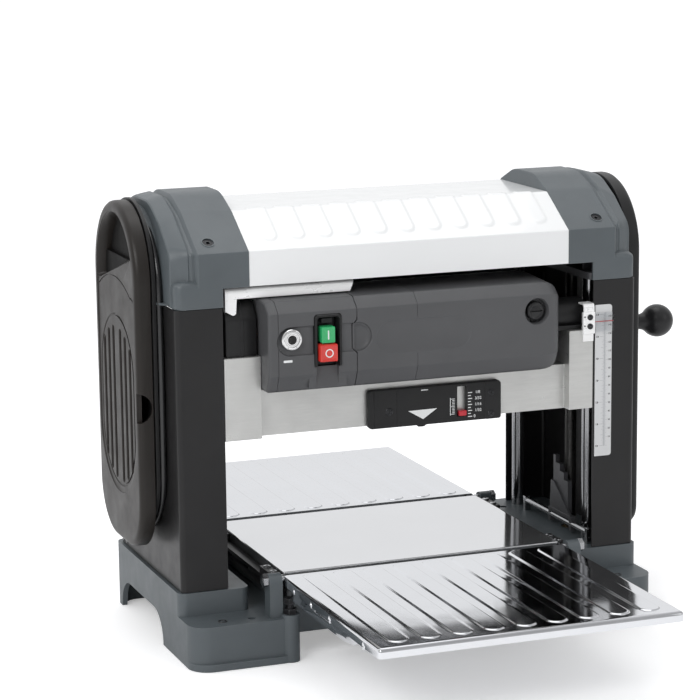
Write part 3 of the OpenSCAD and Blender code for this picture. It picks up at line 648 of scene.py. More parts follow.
def inset(points, distance):
    """Moves an outline inwards along its own normals."""
    count = len(points)
    sign = winding(points)
    moved = []
    for i in range(count):
        # doubled points are passed over when the edges are found
        last = i - 1
        while (Vector(points[last % count]) - Vector(points[i])).length < 1e-6:
            last -= 1
        following = i + 1
        while (Vector(points[following % count]) - Vector(points[i])).length < 1e-6:
            following += 1
        x, y = points[i]
        last_x, last_y = points[last % count]
        next_x, next_y = points[following % count]
        step = miter(Vector((x - last_x, y - last_y)).normalized(),
                     Vector((next_x - x, next_y - y)).normalized(), sign, 0.2)
        moved.append((x + step.x * distance, y + step.y * distance))
    return moved


def shrink(corners, distance):
    """Moves (u, v, radius) corners inwards; the radii follow, but 0 stays 0."""
    sign = winding(corners)
    moved = []
    for i in range(len(corners)):
        corner = Vector(corners[i][:2])
        before = (corner - Vector(corners[i - 1][:2])).normalized()
        after = (Vector(corners[(i + 1) % len(corners)][:2]) - corner).normalized()
        step = miter(before, after, sign, 0.15)
        convex = (before.x * after.y - before.y * after.x) * sign > 0
        radius = corners[i][2]
        if radius != 0:
            radius = max(0.2, radius - distance if convex else radius + distance)
        moved.append((corner.x + step.x * distance, corner.y + step.y * distance, radius))
    return moved


def rounded(corners, distance=0.0):
    return fillet(shrink(corners, distance) if distance else corners, 8)


def shell(axis, corners, stations):
    """Loft of one rounded outline; stations are (place, inward offset)."""
    return stack(axis, [(place, rounded(corners, inward)) for place, inward in stations])


def mirrored_rear(corners):
    """Front corners (Y, Z, radius), completed to the rear about the middle."""
    return corners + [(2 * MIDDLE_Y - y, z, radius) for y, z, radius in reversed(corners)]


# ------------------------------------------------------------------ end caps
CAP_FOOT = 387.2
CAP_BODY = mirrored_rear([(-91, CAP_FOOT, 0.4), (-91, 446, 2.0), (-31, 484.6, 42),
                          (6, 500.2, 60)])
CAP_GROOVE = mirrored_rear([(-85, CAP_FOOT, 0.4), (-85, 446, 6.0), (-31, 480.5, 42),
                            (6, 495.0, 60)])
CAP_SHOULDER = mirrored_rear([(-84, CAP_FOOT, 0.4), (-84, 448, 12.0), (-30, 484.5, 42),
                              (6, 498.5, 60)])
CAP_END = mirrored_rear([(-75, CAP_FOOT, 0.4), (-75, 446, 24.0), (-38, 475, 42),
                         (0, 495.5, 60)])
# opening towards the top cover, (Y, Z, radius)
CAP_OPENING = [(-90, 402, 0.5), (-90, 446, 1), (-32, 483, 6), (97.6, 483, 6), (156, 446, 1),
               (156, 402, 0.5)]
# front ledge: z, outer X, front Y
LEDGE = ((CAP_FOOT + 0.1, 271.6, -90.9), (388.4, 272.6, -91.0), (409.5, 272.6, -91.0),
         (412.6, 272.0, -90.2), (415.5, 269.5, -87.6), (417.5, 262.0, -83.0))


def cap_ledge(rear):
    """Ledge under the shoulder, at the front or mirrored to the rear."""
    radius = 9.0
    rings = []
    for z, outer_x, front_y in LEDGE:
        points = [(244.0, -60.0), (244.0, front_y)]
        points += arc(outer_x - radius, front_y + radius, radius, 270, 90, 8)
        points.append((outer_x, -60.0))
        rings.append([(x, 2 * MIDDLE_Y - y if rear else y, z) for x, y in points])
    return loft(rings)


def cap_blank():
    """Right end cap before its shaft hole."""
    shoulder, end = rounded(CAP_SHOULDER), rounded(CAP_END)
    blend = [(a[0] * 0.55 + b[0] * 0.45, a[1] * 0.55 + b[1] * 0.45)
             for a, b in zip(shoulder, end)]
    piece = stack("x", [
        (189.0, rounded(CAP_BODY, 0.7)), (189.7, rounded(CAP_BODY)), (246.0, rounded(CAP_BODY)),
        (247.4, rounded(CAP_BODY, 1.2)), (249.6, rounded(CAP_GROOVE)),
        (252.0, rounded(CAP_GROOVE)), (254.2, rounded(CAP_SHOULDER, 0.8)), (255.6, shoulder),
        (263.0, blend), (269.5, end), (272.0, rounded(CAP_END, 1.0)),
        (273.0, rounded(CAP_END, 2.6))])
    add(piece, cap_ledge(False))
    add(piece, cap_ledge(True))
    # boss that carries the side cover
    boss = bevelled(cyl("x", 270, 286, (COVER_Y, COVER_Z), 78.0, 96), 1.5)
    cut(boss, block((260, -60, 320), (300, 140, 387.4)))
    add(piece, boss)
    # hollow inside
    core = prism("x", rounded(CAP_BODY, 3.2), 192.4, 243)
    add(core, prism("x", rounded(CAP_END, 3.4), 240, 268.5))
    add(core, block((187, -86.6, 380), (219.5, 152.4, 407.8)))
    add(core, block((240, -70, 380), (268.5, 135, 400)))
    cut(piece, core)
    cut(piece, block((180, -100, 380), (219.2, 170, 407.9)))
    cut(piece, prism("x", rounded(CAP_OPENING, 3.0), 186, 194))
    # screw wells on the sloping faces
    for y, tilt in ((-75, 32), (141, -32)):
        well = cyl("z", -4.2, 26, (0, 0), 6.3, 40)
        seat = cyl("z", -14, 0.9, (0, 0), 8.4, 40, 7.4)
        placed = (Matrix.Translation(Vector((230, y, 456)) * MM)
                  @ Matrix.Rotation(radians(tilt), 4, "X"))
        for tool in (well, seat):
            tool.data.transform(placed)
        add(piece, seat)
        cut(piece, well)
    return piece


def end_caps():
    right = cap_blank()
    left = right.copy()
    left.data = right.data.copy()
    link(left)
    cut(right, cyl("x", 240, 300, CRANK_AXIS, 10, 40))
    mirror(left, 0)
    for piece, node_name in ((right, "right_end_cap"), (left, "left_end_cap")):
        clean(piece)
        bevel(piece, 0.5, 40)
        dress(piece, node_name + "_shell", "frame", "slate_casting", replaces=node_name)


# ------------------------------------------------------------------ side covers
def cover_outline(bottom, radius, corner):
    """Round top over two rounded lower corners, (Y, Z)."""
    points = arc(COVER_Y, COVER_Z, radius, 0, 180, 40)
    points += arc(COVER_Y - radius + corner, bottom + corner, corner, 180, 90, 10)
    return points + arc(COVER_Y + radius - corner, bottom + corner, corner, 270, 90, 10)


def stadium(radius, top, bottom):
    """Upright stadium from its upper and lower centre heights, (Y, Z)."""
    return arc(COVER_Y, top, radius, 0, 180, 32) + arc(COVER_Y, bottom, radius, 180, 180, 32)


def recess_mouth(grow, steps=30):
    """Mouth of the carrying recess: round top, sloping lower lip."""
    radius = 70.5 + grow
    low_angle = asin((435.5 - grow - COVER_Z) / radius)
    corners = [(COVER_Y - radius * cos(low_angle), 435.5 - grow, 3.0)]
    for i in range(1, steps + 1):
        angle = pi - low_angle + (low_angle - pi) * i / steps
        corners.append((COVER_Y + radius * cos(angle), COVER_Z + radius * sin(angle), 0))
    corners.append((COVER_Y + radius, 397.0 - grow, 5.0))
    return fillet(corners, 4)


def cover_blank(bottom, corner):
    """Cover body with its hollow back, built at +X."""
    full = cover_outline(bottom, COVER_R, corner)
    # X, inward offset
    stations = ((286.0, 0.6), (286.6, 0.0), (FACE_X - 6.5, 0.0), (FACE_X - 3.4, 0.7),
                (FACE_X - 1.2, 2.6), (FACE_X - 0.2, 5.2), (FACE_X, 7.2))
    piece = stack("x", [(x, inset(full, inward)) for x, inward in stations])
    back = stack("x", [(285, inset(full, 3.2)), (297.6, inset(full, 3.6))])
    for mount in COVER_MOUNTS:
        cut(back, cyl("x", 280, 300, mount, 8, 32))
    return cut(piece, back)


def add_cover_mounts(piece):
    for mount in COVER_MOUNTS:
        add(piece, cyl("x", 273, 299, mount, 8, 32))
        cut(piece, cyl("x", 270, 297, mount, 3, 24))


def score_edge(narrow):
    """One edge of the arched score line: a wide arch, a tight turn and a drop, (Y, Z)."""
    radius, turn = 125.0 - narrow, 9 - narrow
    points = []
    for i in range(25):
        y = 106 - (106 + 19) * i / 24
        points.append((y, 409 - 125 + sqrt(radius * radius - (y - 44) ** 2)))
    arch_z = points[-1][1]
    for i in range(1, 9):
        angle = radians(60 + 120 * i / 8)
        points.append((-19 + turn * (cos(angle) - cos(radians(60))),
                       arch_z - turn * (sin(radians(60)) - sin(angle))))
    points.append((points[-1][0], 378))
    return points


def left_cover_shell():
    piece = cover_blank(bottom=107.4, corner=60)
    # the face inside the rim lies slightly lower
    cut(piece, stack("x", [(x, stadium(71.5 + grow, COVER_Z, 236))
                           for x, grow in ((302.3, 0.0), (302.5, 0.5), (304.5, 1.8))]))
    # wall of the carrying recess, then the recess with a flared mouth
    add(piece, stack("x", [(x, recess_mouth(2.6)) for x in (286.2, 300.5)]))
    cut(piece, stack("x", [(x, recess_mouth(grow)) for x, grow in (
        (280, -4.0), (291, -3.4), (298.5, -1.2), (301.4, 0.2), (303.4, 1.6), (304.4, 2.4))]))
    # shallow trench around a raised panel with round ends
    trench, island = (stack("x", [(x, stadium(64 + grow, 301, 236)) for x, grow in stations])
                      for stations in (((301.0, 0.6), (303.2, 2.4)),
                                       ((299, -2.6), (303.6, -1.0))))
    cut(trench, island)
    cut(piece, trench)
    # six long grooves around a plain centre field, the outer ones shorter
    groove_width, groove_floor, groove_top = 7.4, 299.9, 302.4
    for offset in (-59, -37.5, -16, 16, 37.5, 59):
        outward = (offset / 59.0) ** 2
        low, high = 176 + 20 * outward, 352 - 18 * outward
        cut(piece, obround_stack("x", (COVER_Y + offset * 0.86, (low + high) / 2),
                                 (groove_width, high - low), 8,
                                 ((groove_floor, 0.0), (groove_top - 1.4, 0.0),
                                  (groove_top + 0.6, 1.6))))
    # arched score line between the recess and the panel
    cut(piece, prism("x", score_edge(0.0) + score_edge(1.5)[::-1], 301.3, 306))
    # thumb notch in the front wall, open towards the face
    cut(piece, cyl("y", -70, -37.5, (303.9, 273.6), 16.6, 56))
    add_cover_mounts(piece)
    mirror(piece, 0)
    clean(piece)
    bevel(piece, 0.45, 38)
    dress(piece, "left_side_cover_shell", "frame", "brown_black_plastic", smooth=32,
          replaces="left_side_cover")


def left_cover_floor():
    """Floor of the carrying recess with a lower step, in a darker material that paints the shade in
    the recess.
    """
    piece = prism("x", recess_mouth(0.6), 286.3, 288.4)
    step = prism("x", fillet([(-24, 429, 3), (108.5, 429, 3), (108.5, 399, 4), (96, 398.5, 3),
                              (-20, 427.7, 3)], 4), 287.5, 293.5)
    cut(step, block((280, -60, 380), (300, -18, 436)))
    add(piece, step)
    mirror(piece, 0)
    clean(piece)
    bevel(piece, 0.6, 38)
    dress(piece, "left_cover_recess_floor", "frame", "brown_black_plastic", smooth=32,
          replaces="left_side_cover", mat="recess_painted_shade")


def right_cover():
    piece = cover_blank(bottom=81, corner=25)

    def panel(grow):
        return cover_outline(112 - grow, 62 + grow, 20 + grow)
    # shallow trench around a long raised panel
    trench = stack("x", [(302.4, panel(0.2)), (304.5, panel(1.4))])
    cut(trench, stack("x", [(300, panel(-3.4)), (305, panel(-2.2))]))
    cut(piece, trench)
    cut(piece, cyl("x", 280, 310, CRANK_AXIS, 12))
    # seven lying grooves with sloped walls
    for i in range(7):
        z = 130 + i * 11
        cut(piece, stack("x", [
            (301.6, round_rect(COVER_Y - 34, z - 2.6, COVER_Y + 34, z + 2.6, 2.5, 5)),
            (304.4, round_rect(COVER_Y - 35, z - 3.4, COVER_Y + 35, z + 3.4, 3.3, 5))]))
    add_cover_mounts(piece)
    clean(piece)
    bevel(piece, 0.45, 38)
    dress(piece, "right_side_cover_shell", "frame", "black_plastic", smooth=32,
          replaces="right_side_cover")


# ------------------------------------------------------------------ pressed sheets
def smooth_step(value):
    value = max(0.0, min(1.0, value))
    return value * value * (3 - 2 * value)


def rib_height(x, along, centers, start, end, half_width, flank):
    """Height from 0 to 1 of round-ended ribs that run from start to end."""
    best = 0.0
    for center in centers:
        across = abs(x - center)
        if along < start + half_width:
            distance = hypot(across, start + half_width - along)
        elif along > end - half_width:
            distance = hypot(across, along - (end - half_width))
        else:
            distance = across
        best = max(best, 1.0 - smooth_step((distance - (half_width - flank)) / flank))
    return best


def top_cover():
    """Bent white sheet with ribs pressed into the front slope."""
    half_length, columns, spacing = 188.8, 252, 2.0
    rib_rise, rib_pitch, rib_count = 1.15, 32.0, 11
    bends = [(-90, 408.2, 0), (-90, 446, 2.2), (-32, 483, 9), (97.6, 483, 9), (156, 446, 2.2),
             (156, 408.2, 0)]
    loop = fillet(bends, 6)
    # keep one point for each of the two open ends
    coarse = [loop[0]] + loop[7:-7] + [loop[-1]]
    profile = []
    for a, b in zip(coarse, coarse[1:]):
        length = hypot(b[0] - a[0], b[1] - a[1])
        if length < 1e-6:
            continue
        count = max(1, int(ceil(length / spacing)))
        for k in range(count):
            profile.append((a[0] + (b[0] - a[0]) * k / count,
                            a[1] + (b[1] - a[1]) * k / count))
    profile.append(coarse[-1])
    # arc length from the front lower edge
    along = [0.0]
    for a, b in zip(profile, profile[1:]):
        along.append(along[-1] + hypot(b[0] - a[0], b[1] - a[1]))
    slope = next(length for length, point in zip(along, profile) if point[1] > 446.5)
    rows = len(profile)
    normals = []
    for i in range(rows):
        a, b = profile[max(0, i - 1)], profile[min(rows - 1, i + 1)]
        tangent = Vector((b[0] - a[0], b[1] - a[1])).normalized()
        normals.append((-tangent.y, tangent.x))
    ribs = [-160 + rib_pitch * i for i in range(rib_count)]
    verts, faces = [], []
    for column in range(columns + 1):
        x = -half_length + 2 * half_length * column / columns
        for (y, z), (normal_y, normal_z), length in zip(profile, normals, along):
            rise = rib_rise * rib_height(x, length, ribs, slope + 13, slope + 84,
                                         half_width=11.0, flank=2.6)
            verts.append((x, y + normal_y * rise, z + normal_z * rise))
    for i in range(columns):
        for j in range(rows - 1):
            k = i * rows + j
            faces.append((k, k + 1, k + rows + 1, k + rows))
    piece = thicken(solid(verts, faces), 2.4)
    dress(piece, "top_cover_sheet", "frame", "white_paint", smooth=40, replaces="top_cover")


# ------------------------------------------------------------------ folding tables
TABLE_HALF = 169.0
TABLE_END = -411.0                    # free end, Y
TABLE_ROLL = 4.5                      # radius of the rolled edges
TABLE_RIB_RISE = 1.2
# hinge part of the side flanges with the pivot ear, (Y, Z)
TABLE_FLANGE = [(-350, 82.6), (-338, 76), (-306, 72.2), (-150, 71.4), (-126, 71.4),
                (-117.4, 79.5), (-114.6, 86), (-114.4, 92.6), (-350, 92.6)]
# hat section of the stiffeners, (Y from its middle, Z)
STIFFENER = [(-9, 92.0), (-9, 90.6), (-7.5, 90.6), (-5, 84), (5, 84), (7.5, 90.6), (9, 90.6),
             (9, 92.0), (6.6, 92.0), (4, 85.6), (-4, 85.6), (-6.6, 92.0)]


def table_sheet(hinge_y):
    """Ribbed sheet with rolled front and side edges."""
    base = TABLE_TOP - TABLE_RIB_RISE
    ribs = [(i - 4) * 35.0 for i in range(9)]
    # plan grid, finer where ribs bend
    steps = (0.0, 1.7, 3.4, 5.0, 6.2, 7.2, 8.1, 8.9, 9.6, 10.2, 10.6, 11.0, 11.4, 11.8, 12.4)
    xs = {-TABLE_HALF + TABLE_ROLL, TABLE_HALF - TABLE_ROLL}
    for center in ribs:
        for step in steps:
            xs |= {round(center + step, 3), round(center - step, 3)}
    for center in ribs[:-1]:
        xs |= {center + 15.0, center + 17.5, center + 20.0}
    xs = sorted(xs)
    ys = {TABLE_END + TABLE_ROLL, -404.0, -399.0, hinge_y - 4.0, hinge_y - 2.0, hinge_y}
    for i in range(33):
        ys |= {round(-398.2 + i * 0.4, 3), round(hinge_y - 4.8 - i * 0.4, 3)}
    ys |= {-384.0 + 24.0 * i for i in range(1, 10)}
    ys = sorted(ys)
    # rolled edges: (outward, down) steps from the flat top to the foot of the flange
    roll = [(0.0, 0.0)] + [(TABLE_ROLL * sin(radians(angle)),
                            TABLE_ROLL * (1 - cos(radians(angle))))
                           for angle in (15, 30, 45, 60, 75, 90)]
    roll += [(TABLE_ROLL, 10.8)]
    verts, faces, index = [], [], {}

    def put(key, point):
        index[key] = len(verts)
        verts.append(point)

    columns, rows, rolls = len(xs), len(ys), len(roll)
    for i, x in enumerate(xs):
        for j, y in enumerate(ys):
            rise = TABLE_RIB_RISE * rib_height(x, y, ribs, -398.0, hinge_y - 5.0,
                                               half_width=12.0, flank=2.0)
            put(("top", i, j), (x, y, base + rise))
    for i in range(columns - 1):
        for j in range(rows - 1):
            faces.append((index["top", i, j], index["top", i + 1, j],
                          index["top", i + 1, j + 1], index["top", i, j + 1]))

    def wall(side, count, edge):
        """Faces of a rolled edge; edge(i) is the key of its i-th point on the flat top."""
        for i in range(count - 1):
            for k in range(rolls - 1):
                here = index[edge(i)] if k == 0 else index[side, i, k]
                beside = index[edge(i + 1)] if k == 0 else index[side, i + 1, k]
                faces.append((here, index[side, i, k + 1], index[side, i + 1, k + 1], beside))

    for i, x in enumerate(xs):
        for k in range(1, rolls):
            out, down = roll[k]
            put(("front", i, k), (x, TABLE_END + TABLE_ROLL - out, base - down))
    wall("front", columns, lambda i: ("top", i, 0))
    turns = 6
    for side, column, sign in (("left", 0, -1), ("right", columns - 1, 1)):
        for j, y in enumerate(ys):
            for k in range(1, rolls):
                out, down = roll[k]
                put((side, j, k), (xs[column] + sign * out, y, base - down))
        wall(side, rows, lambda j: ("top", column, j))
        # rounded front corner as a fan
        fan = side + " corner"
        for turn in range(turns + 1):
            angle = radians(90 * turn / turns)
            for k in range(1, rolls):
                out, down = roll[k]
                if turn == 0:
                    index[fan, turn, k] = index[side, 0, k]
                elif turn == turns:
                    index[fan, turn, k] = index["front", column, k]
                else:
                    put((fan, turn, k), (xs[column] + sign * out * cos(angle),
                                         ys[0] - out * sin(angle), base - down))
        for turn in range(turns):
            faces.append((index["top", column, 0], index[fan, turn, 1],
                          index[fan, turn + 1, 1]))
            for k in range(1, rolls - 1):
                faces.append((index[fan, turn, k], index[fan, turn, k + 1],
                              index[fan, turn + 1, k + 1], index[fan, turn + 1, k]))
    sheet = solid(verts, faces)
    # the top must face up before the sheet is thickened
    with edit(sheet.data) as bm:
        top = max(bm.faces, key=lambda face: face.calc_center_median().z)
        if top.normal.z < 0:
            bmesh.ops.reverse_faces(bm, faces=bm.faces)
    return thicken(sheet, 1.6)


def table_flange(sign):
    """One hinge flange and its slotted rivet heads."""
    x0, x1 = sorted((sign * (TABLE_HALF - 3.4), sign * (TABLE_HALF - 1.8)))
    flange = prism("x", TABLE_FLANGE, x0, x1)
    cut(flange, cyl("x", x0 - 1, x1 + 1, (-123, 90), 4.3, 24))
    slot = round_rect(-262, 79.2, -222, 84.6, 2.6, 5)
    cut(flange, stack("x", [(x0 - 1, slot), (x1 + 1, slot)]))
    parts = [bevelled(flange, 0.3, 35)]
    x = sign * TABLE_HALF
    for y, radius in ((-160, 3.6), (-214, 3.6), (-270, 4.2), (-368, 4.6)):
        profile = [(-2.0, radius), (0.4, radius), (1.2, radius * 0.86), (1.7, radius * 0.55),
                   (1.85, 0)]
        head = lathe("x", (y, 84.8), [(sign * out - sign * 0.7, r) for out, r in profile], 24,
                     start=x)
        slot_x = sign * 1.4
        parts.append(cut(head, block((x - 0.9 + slot_x, y - radius * 0.7, 84.4),
                                     (x + 0.9 + slot_x, y + radius * 0.7, 85.2))))
    return parts


def table(node_name, body, hinge_y, rear):
    """A table built to the front; the rear one is mirrored across the bed."""
    parts = [table_sheet(hinge_y)] + table_flange(-1) + table_flange(1)
    # cross rail at the hinge side
    rail = [(hinge_y - 10, 92.2), (hinge_y - 10, 84.0), (hinge_y - 8.4, 84.0),
            (hinge_y - 8.4, 90.8), (hinge_y, 90.8), (hinge_y, 92.2)]
    parts.append(prism("x", rail, -TABLE_HALF + 4, TABLE_HALF - 4))
    for y in (-250, -340):
        parts.append(prism("x", [(y + offset, z) for offset, z in STIFFENER],
                           -TABLE_HALF + 6, TABLE_HALF - 6))
    piece = join(parts)
    if rear:
        mirror(piece, 1)
    dress(piece, node_name + "_panel", body, "mirror_steel", smooth=28, replaces=node_name)


# ------------------------------------------------------------------ bed
def bed():
    """Bright wear sheet on a dark hollow body; the body's dark faces below the sheet's edges paint
    the shade of the front and rear seams.
    """
    half_x, half_y = 165.0, 117.0
    plan = [(-half_x, -half_y, 2.5), (-half_x, half_y, 2.5), (half_x, half_y, 2.5),
            (half_x, -half_y, 2.5)]
    sheet = shell("z", plan, ((92.6, 0.9), (92.6, 0.25), (93.0, 0.0), (94.2, 0.0),
                              (94.75, 0.25), (94.98, 0.8), (TABLE_TOP, 1.6)))
    dress(sheet, "bed_wear_sheet", "frame", "polished_steel", replaces="bed_plate")
    body = shell("z", plan, ((73.1, 1.6), (73.6, 1.1), (91.6, 1.1), (92.6, 1.6)))
    cut(body, block((-half_x + 3, -half_y + 3, 70), (half_x - 3, half_y - 3, 90.6)))
    for y in (-84, 84):
        for x in (-150, -75, 0, 75, 150):
            cut(body, cyl("z", 70, 76, (x, y), 3, 16))
    clean(body)
    # the cast material instead of the plate's polished steel keeps the body dark, as painted shade
    # in the seams
    dress(body, "bed_plate_body", "frame", "polished_steel", replaces="bed_plate",
          mat="cast_bed")


# ------------------------------------------------------------------ belt cover
BELT_COVER = [(-86, 331.4, 0.4), (-86, 372, 9), (-74, 391, 8), (-48, 391, 12), (-30, 376, 12),
              (62, 334, 1.4), (62, 331.4, 0.4)]
BELT_HOLLOW = [(-83, 320, 0.4), (-83, 371, 6), (-73, 388, 5), (-49, 388, 9), (-32, 373, 9),
               (59, 332.8, 0.6), (59, 320, 0.4)]


def belt_cover():
    piece = shell("x", BELT_COVER, ((-216, 2.2), (-215.2, 0.8), (-213.6, 0.0), (-182.4, 0.0),
                                    (-180.8, 0.8), (-180, 1.6)))
    # raised rim around the shell
    add(piece, shell("x", BELT_COVER, ((-199, 0.0), (-198.4, -0.7), (-195.6, -0.7),
                                       (-195, 0.0))))
    cut(piece, prism("x", rounded(BELT_HOLLOW), -213, -183))
    cut(piece, cyl("x", -190, -170, MOTOR_AXIS, 14, 40),
        block((-220, -90, 315), (-176, 66, 331.4)))
    # three bosses with hexagon sockets
    for center in ((-60, 368), (-20, 346), (30, 334)):
        add(piece, cyl("x", -214, -215.9, center, 5.2, 28, 4.4))
        cut(piece, cyl("x", -215, -217, center, 2.6, 6))
    clean(piece)
    bevel(piece, 0.35, 40)
    dress(piece, "belt_cover_shell", "head", "black_plastic", smooth=32, replaces="belt_cover")


def belt_bridge():
    """Bent sheet: rounded front edge, tab on the left, slanted right end."""
    left_x = -215.5
    section = fillet([(-86, 394.6, 0.3), (-86, 407, 6.5), (-64, 407, 0.3), (-64, 405.2, 0.3),
                      (-84.2, 405.2, 4.8), (-84.2, 394.6, 0.3)], 7)
    piece = prism("x", section, left_x, -66)
    add(piece, prism("y", fillet([(left_x, 397.5, 0.2), (left_x, 381.5, 5), (-206.5, 376.4, 3),
                                  (-203.4, 378.5, 1.4), (-202.2, 397.5, 0.2)], 6), -86, -84.2))
    add(piece, prism("x", fillet([(-86, 380, 4), (-86, 406.2, 5.5), (-64, 406.9, 0.3),
                                  (-64, 396, 8), (-78, 380, 6)], 5), left_x, -213.9))
    cut(piece, prism("y", [(-60, 410), (-66, 410), (-73.5, 392), (-60, 392)], -90, -60))
    clean(piece)
    bevel(piece, 0.35, 40)
    dress(piece, "belt_bridge_sheet", "head", "head_silver", smooth=32, replaces="belt_cover",
          mat="bridge_silver")


# ------------------------------------------------------------------ motor housing
MOTOR_SECTION = [(-117, 380, 2.6), (-104, 392, 7), (-34, 396, 11), (-22, 384, 5),
                 (-22, 306, 5), (-32, 293, 7), (-108, 293, 6), (-117, 312, 3.5)]
# X, inward offset
MOTOR_STATIONS = ((-177.5, 2.4), (-176.6, 0.9), (-175.2, 0.2), (-173.5, 0.0), (146, 0.0),
                  (153, 0.5), (158.5, 1.8), (163, 4.2), (166.5, 7.6), (168.8, 11.2),
                  (170, 15.0))
# split line with its jog around the dimple, (X, Z)
SPLIT_LINE = ((-76.4, 371.2), (-76.4, 368.5), (-81.2, 363.2), (-81.2, 337.0), (-76.6, 332.0),
              (-76.4, 330.8))


def motor_ring_groove(piece, x, width, depth, gap=None):
    """Groove around the housing; gap is a box (low, high) that stays uncut."""
    tool = prism("x", rounded(MOTOR_SECTION, -2.0), x - width / 2, x + width / 2)
    cut(tool, prism("x", rounded(MOTOR_SECTION, depth), x - width, x + width))
    if gap:
        cut(tool, block(*gap))
    cut(piece, tool)


def front_groove(piece, points, width, start, end):
    """Groove along (X, Z) points, one slightly overlong bar for each stretch."""
    for (xa, za), (xb, zb) in zip(points, points[1:]):
        dx, dz = xb - xa, zb - za
        length = hypot(dx, dz)
        side_x, side_z = -dz / length * width / 2, dx / length * width / 2
        over_x, over_z = dx / length * width * 0.35, dz / length * width * 0.35
        cut(piece, prism("y", [(xa - over_x + side_x, za - over_z + side_z),
                               (xb + over_x + side_x, zb + over_z + side_z),
                               (xb + over_x - side_x, zb + over_z - side_z),
                               (xa - over_x - side_x, za - over_z - side_z)], start, end))


def motor_hollow(piece):
    cut(piece, shell("x", MOTOR_SECTION, ((-136, 3.2), (152, 3.2), (160, 8.5), (166.6, 15.5))))
    cut(piece, prism("x", rounded(MOTOR_SECTION, 3.2), -174, -142))
    # thicker wall behind the switch and cups behind the front brush and the dimple
    add(piece, block((-131.5, -115, 296.5), (-88.5, -109.4, 380)))
    add(piece, cyl("y", -115.5, -103.0, FRONT_BRUSH, 17.6))
    add(piece, cyl("y", -115.0, -107.5, DIMPLE, 18.5))
    # bearing bores
    for start, end, radius in ((-180, -170, 14), (-145, -130, 13), (156, 175, 13)):
        cut(piece, cyl("x", start, end, MOTOR_AXIS, radius))


def motor_front(piece):
    """Recesses and openings in the front face."""
    # long recess with round ends through switch, ring and dimple
    cut(piece, obround_stack("y", (-113.5, 349.3), (108, 30.5), 16, (
        (-114.2, -0.9), (-114.5, -0.3), (-116.2, 0.2), (-116.8, 0.7), (-117.6, 1.9))))
    # deeper half dimple right of the split line: Y, radius
    dimple = stack("y", [(y, circle(DIMPLE, radius, 48)) for y, radius in (
        (-111.4, 5.0), (-111.7, 8.5), (-112.5, 11.6), (-113.7, 13.6), (-115.4, 14.7),
        (-118, 15.5))])
    cut(dimple, block((-110, -125, 320), (-78.5, -105, 380)))
    cut(piece, dimple)
    # switch opening, reset well, brush openings
    cut(piece, prism("y", round_rect(-126, 319, -94, 377, 4), -120, -104))
    cut(piece, cyl("y", -120, -108, RESET, 6, 32))
    well = stack("y", [(y, circle(FRONT_BRUSH, radius, 48)) for y, radius in (
        (-105.4, 13.6), (-115.4, 14.2), (-116.6, 14.9), (-118, 16.2))])
    cut(piece, well, cyl("y", -112, -100, FRONT_BRUSH, 5.2, 40),
        cyl("y", -28, -18, REAR_BRUSH, 8.2, 40))
    # finger ramp below the switch
    ramp = prism("x", fillet([(-119.5, 320.4, 0), (-110.6, 320.4, 0), (-111.4, 310, 6),
                              (-114.2, 300, 8), (-116.5, 291.5, 0), (-119.5, 291.5, 0)], 6),
                 -123.4, -97.6)
    cut(piece, bevelled(ramp, 1.2, 40))


def motor_housing():
    piece = shell("x", MOTOR_SECTION, MOTOR_STATIONS)
    motor_hollow(piece)
    motor_front(piece)
    motor_ring_groove(piece, x=-76.4, width=1.3, depth=1.3,
                      gap=((-90, -119.5, 331.0), (-60, -114, 371.0)))
    front_groove(piece, SPLIT_LINE, width=1.3, start=-119, end=-112.0)
    motor_ring_groove(piece, x=-5.6, width=0.7, depth=0.55,
                      gap=((-20, -119.5, 326.0), (10, -112, 366.5)))
    motor_ring_groove(piece, x=-166.6, width=0.9, depth=0.8)
    # shallow obround panel right of the split line
    cut(piece, obround_stack("y", (2, 346.0), (112, 36), 14,
                             ((-116.45, -0.5), (-116.7, 0.0), (-117.3, 1.0))))
    # cooling slots in the right end and along the rear, clear of the rear brush
    for i in range(-3, 4):
        z = 350 + i * 9
        cut(piece, block((157, -44, z - 2), (172, -27, z + 2)))
    for i in range(10):
        x = -30 + i * 15
        if abs(x - REAR_BRUSH[0]) > 18:
            cut(piece, prism("y", obround(x, 346, 5, 44, 6), -27, -20))
    clean(piece, 0.25)
    bevel(piece, 0.3, 42)
    dress(piece, "motor_housing_shell", "head", "motor_grey", replaces="motor_housing")


# ------------------------------------------------------------------ switch and reset button
def switch_bezel():
    outer = [(-125.8, 319.2, 1.0), (-125.8, 376.8, 5.0), (-94.2, 376.8, 5.0),
             (-94.2, 319.2, 1.0)]
    inner = [(-122.4, 316.0, 0.5), (-122.4, 373.4, 3.0), (-97.6, 373.4, 3.0),
             (-97.6, 316.0, 0.5)]
    piece = shell("y", outer, ((-104, 0.3), (-117.0, 0.0), (-118.2, 0.3), (-118.9, 1.0),
                               (-119.0, 1.6)))
    cut(piece, shell("y", inner, ((-106, 1.4), (-110.5, 0.9), (-117.4, 0.1), (-119.6, -0.9))))
    cut(piece, block((-122.4, -125, 310), (-97.6, -111.2, 322)))
    # small catch above the start key
    catch = fillet([(-116, 366.8, 0.8), (-116, 371.4, 0.8), (-104, 371.4, 0.8),
                    (-104, 366.8, 0.8)], 3)
    add(piece, prism("y", catch, -113.5, -105.5))
    clean(piece)
    bevel(piece, 0.3, 40)
    dress(piece, "switch_bezel_frame", "head", "black_plastic", smooth=32,
          replaces="switch_bezel")


